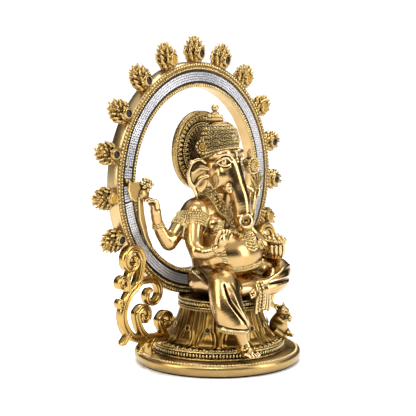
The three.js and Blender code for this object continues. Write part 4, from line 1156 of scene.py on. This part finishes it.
# %% Knob
KNOB_Y = 3
TOP = CROWN_HIGH + 0.3
knob = [lathe([[0.05, TOP], [6.4, TOP], [7.6, TOP + 0.7], [7.9, TOP + 1.6], [7.5, TOP + 2.6],
               [5.6, TOP + 3.0], [4.2, TOP + 3.3],
               [3.6, TOP + 4.4], [4.2, TOP + 5.4], [3, TOP + 7.6], [1.9, TOP + 8.2], [1.6, TOP + 8.8],
               [0.05, TOP + 9]],
              80, (0, KNOB_Y)),
        placed(bead(28, 18), 3.2, [0, KNOB_Y, TOP + 11.3]),
        ring_of(BEAD, 34, 7.7, TOP + 1.6, [0.7, 0.6, 0.7], KNOB_Y)]
knob.append(ring_of(BEAD, 14, 5.6, TOP + 4.3, [1.5, 1.2, 1.7], KNOB_Y))
piece("knob_cast", join(*knob), CAST, ["crown_knob"])

# %% [markdown]
# ## Jewellery laid on the skin
# Armlets, necklace and chains lie on the body. They are rows of beads, or beads shaken over a strip where
# the real work is too fine to count.
# They could be a chased pattern on the skin, but beads stand proud and break the outline as real ones do.

# %% Armlets and bracelets
def near(path, centre, reach):
    """The points of a path that are within reach of a centre."""
    return path[np.linalg.norm(path - np.array(centre), axis=1) < reach]


def cuff(block, centre, axis, radius, rows, size=1.15, gap=2.1):
    """Rows of beads round a limb."""
    axis = np.array(axis, float) / np.linalg.norm(axis)
    parts = []
    for k in range(rows):
        middle = np.array(centre) + axis * (k - (rows - 1) / 2) * gap
        ring, _ = settle(block, hoop(middle, axis, radius), 0.2)
        ring = near(ring, middle, radius + 3.5)
        parts.append(bead_row(block, ring, size, size * 1.9, 0.35, closed=True))
    return join(*parts)


cuffs = [cuff(body, [-29.5, 1, 123], [-0.4, -0.3, -0.87], 10.5, 6),
         cuff(body, [29.5, 1, 123], [0.4, -0.3, -0.87], 10.5, 6),
         cuff(body, [-36.3, -29.6, 102.4], [0.1, -0.8, 0.5], 6, 2, 0.7, 1.4),
         cuff(body, [38.4, -27.6, 91.4], [-0.2, -0.95, -0.3], 6.5, 2, 0.7, 1.4),
         cuff(body, [-61.2, 12.8, 121.5], [-0.35, 0.05, 0.93], 6, 3, 0.75, 1.5),
         cuff(body, [61.2, 12.8, 121.5], [0.35, 0.05, 0.93], 6, 3, 0.75, 1.5),
         cuff(body, [-37, 9.2, 119.4], [-0.68, 0.1, -0.72], 9.5, 3),
         cuff(body, [37, 9.2, 119.4], [0.68, 0.1, -0.72], 9.5, 3)]
piece("armlets", join(*cuffs), CHASED, ["arm_front_right", "arm_front_left", "arm_rear_right",
                                        "arm_rear_left"])

# %% Necklace
UPPER = np.array([[0, 17, 147], [-10, 13, 150], [-10, 1, 151], [-7.5, -9, 144], [-3, -11.5, 135],
                  [0, -12, 130]])
LOWER = np.array([[0, 18, 141], [-14, 13, 143], [-14.5, 1, 145], [-13, -8, 136.5], [-7.5, -14, 124.5],
                  [0, -17, 117.5]])


def both_sides(path):
    """The path on the right side and its mirror, as one closed curve."""
    line = through(path, 40)
    return np.vstack([line, line[-2:0:-1] * [-1, 1, 1]])


def speckle(block, upper, lower, across, pitch, size, level=0.3):
    """Beads over the strip between two curves, on a staggered grid that is shaken a little."""
    n = int(np.linalg.norm(np.diff(upper, axis=0), axis=1).sum() / pitch)
    u, v = np.meshgrid(np.arange(n), np.arange(across))
    u = (u + 0.5 * (v % 2) + rng.uniform(-0.25, 0.25, u.shape)).ravel().clip(0, n) / n * (len(upper) - 1)
    v = ((v + 0.5 + rng.uniform(-0.2, 0.2, v.shape)) / across).ravel()[:, None]
    top, low = (np.stack([np.interp(u, np.arange(len(c)), c[:, i]) for i in range(3)],
                         -1) for c in (upper, lower))
    spots, out = settle(block, top + (low - top) * v, level)
    return scatter(BEAD, spots, frames(out, np.tile(Z_AXIS, (len(spots), 1))),
                   size * rng.uniform(0.8, 1.15, (len(spots), 1)) * np.ones(3))


collar = [speckle(body, both_sides(UPPER), both_sides(LOWER), 4, 2.3, 1.15),
          bead_row(body, both_sides(UPPER + (LOWER - UPPER) * 1.12), 1.0, 1.6, 0.3, closed=True)]
piece("necklace_beads", join(*collar), CHASED, ["necklace"])

# %% Belly chain and medallions
chain = [speckle(body, through([[-9, -22, 114], [3, -28, 114.5], [16, -26, 114]], 30),
                 through([[-6, -38, 99], [-1, -39.5, 97], [4, -39, 98]], 30), 8, 2.3, 1.05)]
piece("belly_chain_beads", join(*chain), CHASED, ["belly_chain"])

boss_spots, boss_out = settle(body, np.array([[-4, -27, 112.5], [13, -38, 101.5], [20, -35, 103],
                                              [6, -37, 103]]), 0.4)
boss_turns = frames(boss_out, np.tile([1.0, 0, 0], (4, 1)))
piece("medallion_cast", join(scatter(bead(12, 7), boss_spots, boss_turns, np.array([[2.6, 3.0, 1.3]] * 4)),
                             *[scatter(DOT, s + (hoop([0, 0, 0], [0, 0, 1.0], 3.2, 12) @ r.T),
                                       np.tile(r, (12, 1, 1)), 0.7)
                               for s, r in zip(boss_spots, boss_turns)]), CHASED, ["medallion"])

# %% Belt and shawl
sash = []
for k in range(4):
    path = through([[-30.5, -2, 80.5], [-29.5, -16, 84], [-24, -28, 84.8], [-14, -35, 85], [-2, -38, 86],
                    [12, -36, 87],
                    [24, -26, 87], [31, -10, 85]], 90) - [0, 0, 1.6 * k]
    sash.append(bead_row(body, path, 0.9, 1.65, 0.3, unit=BEAD if k in (0, 3) else DOT))
piece("belt_beads", join(*sash), CHASED, ["waist_belt"])

shawl = []
for k in range(5):
    path = through([[-12 - 1.5 * k, -17, 122], [-17 - 1.4 * k, -20, 114], [-20 - 1.2 * k, -23, 106],
                    [-21 - k, -25, 98],
                    [-20 - k, -27, 91]], 40)
    shawl.append(bead_row(body, path, 0.9, 1.6, 0.45))
piece("shawl_fold", join(*shawl), CHASED, ["torso"])

# %% [markdown]
# ## Pleats between the legs
# A fan of rounded folds hangs over the seat's edge, with two strings of beads. Rods side by side melt into
# folds.

# %% Pleats and hem beads
pleats = clay([-14, -58, 30], [22, -28, 76], 0.42)
for k in range(6):
    x = -6.5 + k * 3.4
    limb(pleats, [[x * 0.5 + 2, -43.5, 70, 1.8], [x * 0.75 + 2, -46.5, 63, 2.0],
                  [x * 0.95 + 2, -46.0, 56, 2.1],
                  [x * 1.05 + 2, -45.5 + 0.1 * k, 50 - abs(k - 2.5) * 1.2, 1.7]], 0.7, count=14)
piece("pleats_cast", skin(pleats), POLISHED, ["front_pleats"])
pleat_rows = []
for x in (-3.4, 1.2):
    line = through([[x + 1, -45, 72], [x, -49, 66], [x - 0.3, -49.2, 58], [x - 0.4, -48.6, 50]], 30)
    spots = evenly(line, 2.5)
    pleat_rows.append(scatter(BEAD, spots, upright(len(spots)), 1.25))
piece("pleat_beads", join(*pleat_rows), CHASED, ["front_pleats"])
hem_rows = [bead_row(legs, hem - [0, 0, 1.4 * k + 1.6], 0.75, 1.5, 0.3, closed=True) for k in range(2)]
piece("hem_beads", join(*hem_rows), CHASED, ["leg_pendant"])

# %% [markdown]
# ## What the hands hold
# The rear hands hold an axe with a leafy crest and a flower with a disc, and the front left one a
# bowl of sweets. Flat parts are outlines given a thickness.
# The bowl is turned. Axe and flower could be meshes cut by hand, but the field melts their parts into one
# casting.

# %% Flat bodies
def flat_field(block, outline, y0, y1, k=0.4, dig=False):
    """A flat body: the larger of the outline's plane distance and the distance past its two faces."""
    outline = np.array(outline, float)
    low = [outline[:, 0].min() - 2, y0 - 2, outline[:, 1].min() - 2]
    high = [outline[:, 0].max() + 2, y1 + 2, outline[:, 1].max() + 2]
    cuts, points = window(block, low, high)
    x, z = points[:, :1, :, 0], points[:, :1, :, 2]
    best = np.full(x.shape, 99.0)
    inside = np.zeros(x.shape, bool)
    for a, b in zip(outline, np.roll(outline, -1, 0)):
        way = b - a
        t = np.clip(((x - a[0]) * way[0] + (z - a[1]) * way[1]) / (way @ way), 0, 1)
        best = np.minimum(best, np.hypot(x - a[0] - t * way[0], z - a[1] - t * way[1]))
        crosses = (a[1] > z) != (b[1] > z)
        inside ^= crosses & (x < way[0] * (z - a[1]) / (way[1] if abs(way[1]) > 1e-9 else 1e-9) + a[0])
    side = np.where(inside, -best, best)
    thick = np.abs(points[..., 1] - (y0 + y1) / 2) - (y1 - y0) / 2
    press(block, cuts, -melt(-side, -thick, 0.8), k, dig)

# %% Axe
axe = clay([-96, 12, 98], [-56, 24, 168], 0.42)
flat_field(axe, [[-74, 142.5], [-82, 141.7], [-88, 145], [-91, 152.5], [-89.5, 160.5], [-85, 158],
                 [-80, 158.5], [-73, 155]],
           17.3, 19.3)
flat_field(axe, [[-80, 146], [-74.5, 144], [-72.7, 131], [-68, 113], [-63, 104], [-66.5, 102.7], [-72, 111],
                 [-78.5, 127]],
           16.6, 19.8)
for x, z, r in ((-76, 157, 1.9), (-73, 159.6, 1.9), (-69.6, 159, 2.0), (-66.4, 157.4, 1.9),
                (-63.8, 155, 1.6), (-66.8, 152.6, 1.8),
                (-70.4, 155, 2.2), (-74, 154, 2.2), (-69.6, 150.6, 2.2)):
    lump(axe, [x, 16.8, z], [r, r * 1.2, r], 0.5)
    lump(axe, [x, 16.8 - r * 1.3, z], [r * 0.45, r * 0.6, r * 0.45], 0.3, dig=True)
lump(axe, [-73, 17.6, 147.5], [6, 3, 5], 1)
piece("axe_cast", skin(axe), CAST, ["axe"])

# %% Flower and disc
flower = clay([44, 2, 132], [76, 18, 182], 0.42)
limb(flower, [[65, 11, 139, 2.4], [64.4, 10, 146, 3.0], [62, 9.6, 153, 2.6], [59, 10, 158, 2.4]], 1,
     count=12)
for k in range(5):
    a = math.radians(-60 + 30 * k)
    tip = np.array([63.5 + 9.5 * math.sin(a), 7.5, 149 + 9 * math.cos(a)])
    limb(flower, [[64, 9.5, 143, 2.2], [*(tip * 0.6 + np.array([64, 9.5, 143]) * 0.4), 2.2], [*tip, 0.8]],
         0.5, count=8)
limb(flower, [[57, 11.5, 163.5, 7.0], [57, 9.4, 163.5, 6.4]], 0.5)
lump(flower, [57, 6.0, 163.5], [3.2, 3.4, 3.2], 0.4, dig=True)
limb(flower, [[57, 10.8, 170, 2.2], [56.5, 10.6, 174, 2.0], [57.4, 10.2, 178, 0.9]], 0.6)
petal_ring = [scatter(BEAD, hoop([57, y, 163.5], [0, 1.0, 0], r, n), upright(n), size)
              for y, r, n, size in ((5.6, 6.9, 18, 1.25), (4.6, 4.4, 14, 0.9))]
piece("flower_cast", join(skin(flower), *petal_ring), CHASED, ["lotus_emblem"])
piece("flower_stone", placed(bead(14, 8), [2.9, 1.6, 2.9], [57, 4.9, 163.5]), AMBER, ["lotus_emblem"])

# %% Bowl, sweets and the hand under them
BOWL = np.array([39, -33.5, 95.8])
bowl = [lathe([[0.05, 95.8], [4.8, 95.8], [7.0, 97.2], [8.4, 99.2], [9.3, 101.6], [9.5, 102.4],
               [8.6, 102.4], [8.2, 101.6],
               [0.05, 101.2]], 60, BOWL[:2])]
for r, n, z, size in ((6.4, 8, 102.6, 2.6), (3.2, 5, 104.6, 2.6), (0.0, 1, 106.2, 2.6)):
    t = np.arange(n) * 2 * np.pi / n + 0.3
    spots = np.stack([BOWL[0] + r * np.cos(t), BOWL[1] + r * np.sin(t), np.full(n, z)], -1)
    bowl.append(scatter(bead(12, 8), spots, upright(n), size))
bowl.append(scatter(BEAD, hoop(BOWL + [0, 0, 6.3], [0, 0, 1.0], 9.2, 28), upright(28), 0.95))
piece("sweets", join(*bowl), CAST, ["sweet_bowl"])
grip = clay([24, -48, 80], [54, -20, 104], 0.42)
lump(grip, [38.4, -32, 90.2], [7.4, 7.4, 5.0], 1)
for k, a in enumerate(np.radians([196, 216, 236, 256])):
    x, y = math.cos(a), math.sin(a)
    limb(grip, [[38.6 + 6 * x, -33 + 6 * y, 88.5, 2.1], [39 + 9.4 * x, -33.5 + 9.4 * y, 92.5, 2.0],
                [39 + 10.2 * x, -33.5 + 10.2 * y, 97.5, 1.75]], 0.35, count=8)
limb(grip, [[45, -32, 90, 2.4], [48.4, -33, 95, 2.0], [49, -33.6, 99, 1.6]], 0.5)
piece("left_hand_cast", skin(grip), POLISHED, ["arm_front_left"])

# %% [markdown]
# ## The mouse on the drum
# The small companion sits up on the drum and holds a sweet to its mouth. It is made of the same lumps and
# rods as the figure, in a block of its own, so that its small parts get a fine grid.

# %% Mouse
mouse = clay([22, -56, 17], [50, -26, 52], 0.4)
lump(mouse, [36.5, -38.5, 28.5], [7.8, 8.4, 9.6], 2)
lump(mouse, [36.5, -40.5, 35], [6, 6, 6], 2)
lump(mouse, [36.5, -42.5, 41.5], [5, 5.6, 5], 1.5)
limb(mouse, [[36.7, -45, 41, 3.2], [37, -50, 39.6, 1.5]], 1.5)
for side in (-1, 1):
    lump(mouse, [36.5 + side * 4.6, -40.4, 45.4], [2.9, 1.3, 3.0], 0.5, turn=(0, 0, side * 25))
    lump(mouse, [36.5 + side * 4.6, -41.9, 45.4], [1.8, 1.0, 2.0], 0.3, turn=(0, 0, side * 25), dig=True)
    lump(mouse, [36.7 + side * 2.9, -46.6, 42.6], [0.8, 0.8, 0.9], 0.2)
    limb(mouse, [[36.5 + side * 5.2, -42, 35, 2.4], [36.5 + side * 5, -47, 33, 1.8],
                 [36.5 + side * 2, -49.4, 34.6, 1.6]], 0.8)
    limb(mouse, [[36.5 + side * 5.4, -41, 23, 4.4], [36.5 + side * 5, -47, 20.6, 2.2],
                 [36.5 + side * 4.8, -50, 20.4, 1.7]], 1)
lump(mouse, [36.6, -50.4, 35.8], [2.8, 2.6, 2.5], 0.3)
limb(mouse, [[43, -35, 21.5, 1.6], [47, -38, 20.6, 1.3], [47.4, -43, 20.4, 0.9]], 0.8, count=10)
piece("mouse_cast", skin(mouse), CAST, ["mouse"])

# %% [markdown]
# ## Fastenings inside the hollow
# The bolt, its washer and the ring's screw are out of sight, so the CAD nodes are kept as they are and
# only get the look of zinc-plated steel.
# They could be modelled again with threads, but nobody would see them.

# %% Fastenings
for name in ("bolt_washer", "throne_bolt", "ring_screw"):
    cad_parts[name].data.materials.clear()
    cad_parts[name].data.materials.append(ZINC)
    print(name, "zinc plated")

# %% [markdown]
# ## Room, light and camera
# A wide white table, a broad light above, two at the sides and one in front, and a large soft sun that
# lights the table evenly. Polished metal shows what it mirrors, so the room is bright overhead, dark a
# little above eye height and pale at the floor line. The camera itself sees white all round.
# A room with walls would do the same, but a colour over the height of the direction is quicker to set.

# %% Table and lamps
def stage_plane(name, centre, size, turn, material):
    """A flat rectangle of the set."""
    mesh = bpy.data.meshes.new(name)
    x, y = size[0] / 2, size[1] / 2
    mesh.from_pydata([(-x, -y, 0), (x, -y, 0), (x, y, 0), (-x, y, 0)], [], [(0, 1, 2, 3)])
    mesh.materials.append(material)
    thing = bpy.data.objects.new(name, mesh)
    thing.location = centre
    thing.rotation_euler = [math.radians(t) for t in turn]
    bpy.context.scene.collection.objects.link(thing)
    thing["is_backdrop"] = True
    return thing


def softbox(name, spot, aim, size, power, colour="#ffffff"):
    """A rectangular lamp at a spot, turned to face its aim."""
    light = bpy.data.lights.new(name, "AREA")
    light.shape = "RECTANGLE"
    light.size, light.size_y = size
    light.energy = power
    light.color = linear(colour)[:3]
    thing = bpy.data.objects.new(name, light)
    thing.location = spot
    thing.rotation_euler = (Vector(aim) - Vector(spot)).to_track_quat("-Z", "Y").to_euler()
    bpy.context.scene.collection.objects.link(thing)
    return thing

# %% The table
PAPER = plain("white_paper", "#f6f7fb", 0.8)
stage_plane("table", (0, 0, 0), (60, 60), (0, 0, 0), PAPER)

# %% What the metal mirrors
world = bpy.data.worlds.new("room")
world.use_nodes = True
tree = world.node_tree
back = tree.nodes["Background"]
direction = node(tree, "ShaderNodeTexCoord")
split = node(tree, "ShaderNodeSeparateXYZ", links={"Vector": (direction, "Generated")})
rise = node(tree, "ShaderNodeMapRange", {"From Min": -0.1, "From Max": 1.0}, {"Value": (split, "Z")})
sky = ramp(tree, rise, "Result", [(0.0, "#c9c5bd"), (0.12, "#8d867a"), (0.2, "#2a221b"), (0.42, "#1c1611"),
                                  (0.56, "#8b8375"), (0.68, "#ffffff"), (1.0, "#ffffff")])
back.inputs["Strength"].default_value = 1.0
tree.links.new(sky.outputs["Color"], back.inputs["Color"])
paper = node(tree, "ShaderNodeBackground", {"Color": linear("#ffffff"), "Strength": 1.05})
seen = node(tree, "ShaderNodeLightPath")
either = node(tree, "ShaderNodeMixShader", links={"Fac": (seen, "Is Camera Ray")})
tree.links.new(back.outputs["Background"], either.inputs[1])
tree.links.new(paper.outputs["Background"], either.inputs[2])
tree.links.new(either.outputs["Shader"], tree.nodes["World Output"].inputs["Surface"])
bpy.context.scene.world = world

# %% Camera
LENS_MM = 101.970865
CAMERA_TILT = 6.83
CAMERA_TURN = -49.72
camera_spot = Vector((-0.76803, -0.64015, 0.25073))
camera = bpy.data.cameras.new("camera")
camera.sensor_width = 36
camera.lens = LENS_MM
camera.dof.use_dof = False
view = bpy.data.objects.new("camera", camera)
view.location = camera_spot
view.rotation_euler = (math.radians(90 - CAMERA_TILT), 0, math.radians(CAMERA_TURN))
bpy.context.scene.collection.objects.link(view)
bpy.context.scene.camera = view
print("lens", LENS_MM, "mm, looking down by", CAMERA_TILT, "degrees")

# %% Lights
softbox("top_light", (0.25, 0.1, 1.1), (0, 0, 0.1), (0.9, 0.9), 6)
softbox("left_light", (-0.9, 0.35, 0.55), (0, 0, 0.16), (0.35, 0.8), 7, "#fff6e8")
softbox("right_light", (0.35, -1.0, 0.45), (0, 0, 0.14), (0.4, 0.8), 7)
softbox("front_light", (-0.75, -0.45, 1.0), (0, 0, 0.12), (0.5, 0.3), 5)
sun = bpy.data.lights.new("sky_light", "SUN")
sun.energy = 2.3
sun.angle = math.radians(35)
sun_thing = bpy.data.objects.new("sky_light", sun)
sun_thing.rotation_euler = (math.radians(-22), math.radians(24), 0)
bpy.context.scene.collection.objects.link(sun_thing)
scene = bpy.context.scene
scene.view_settings.view_transform = "Standard"
print(len(bpy.data.lights), "lights")

# %% Size
size = {"cad": cad_box, "visual": [list(v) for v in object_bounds()]}
print("visual box", np.round(np.array(size["visual"]) / MM, 1).tolist())
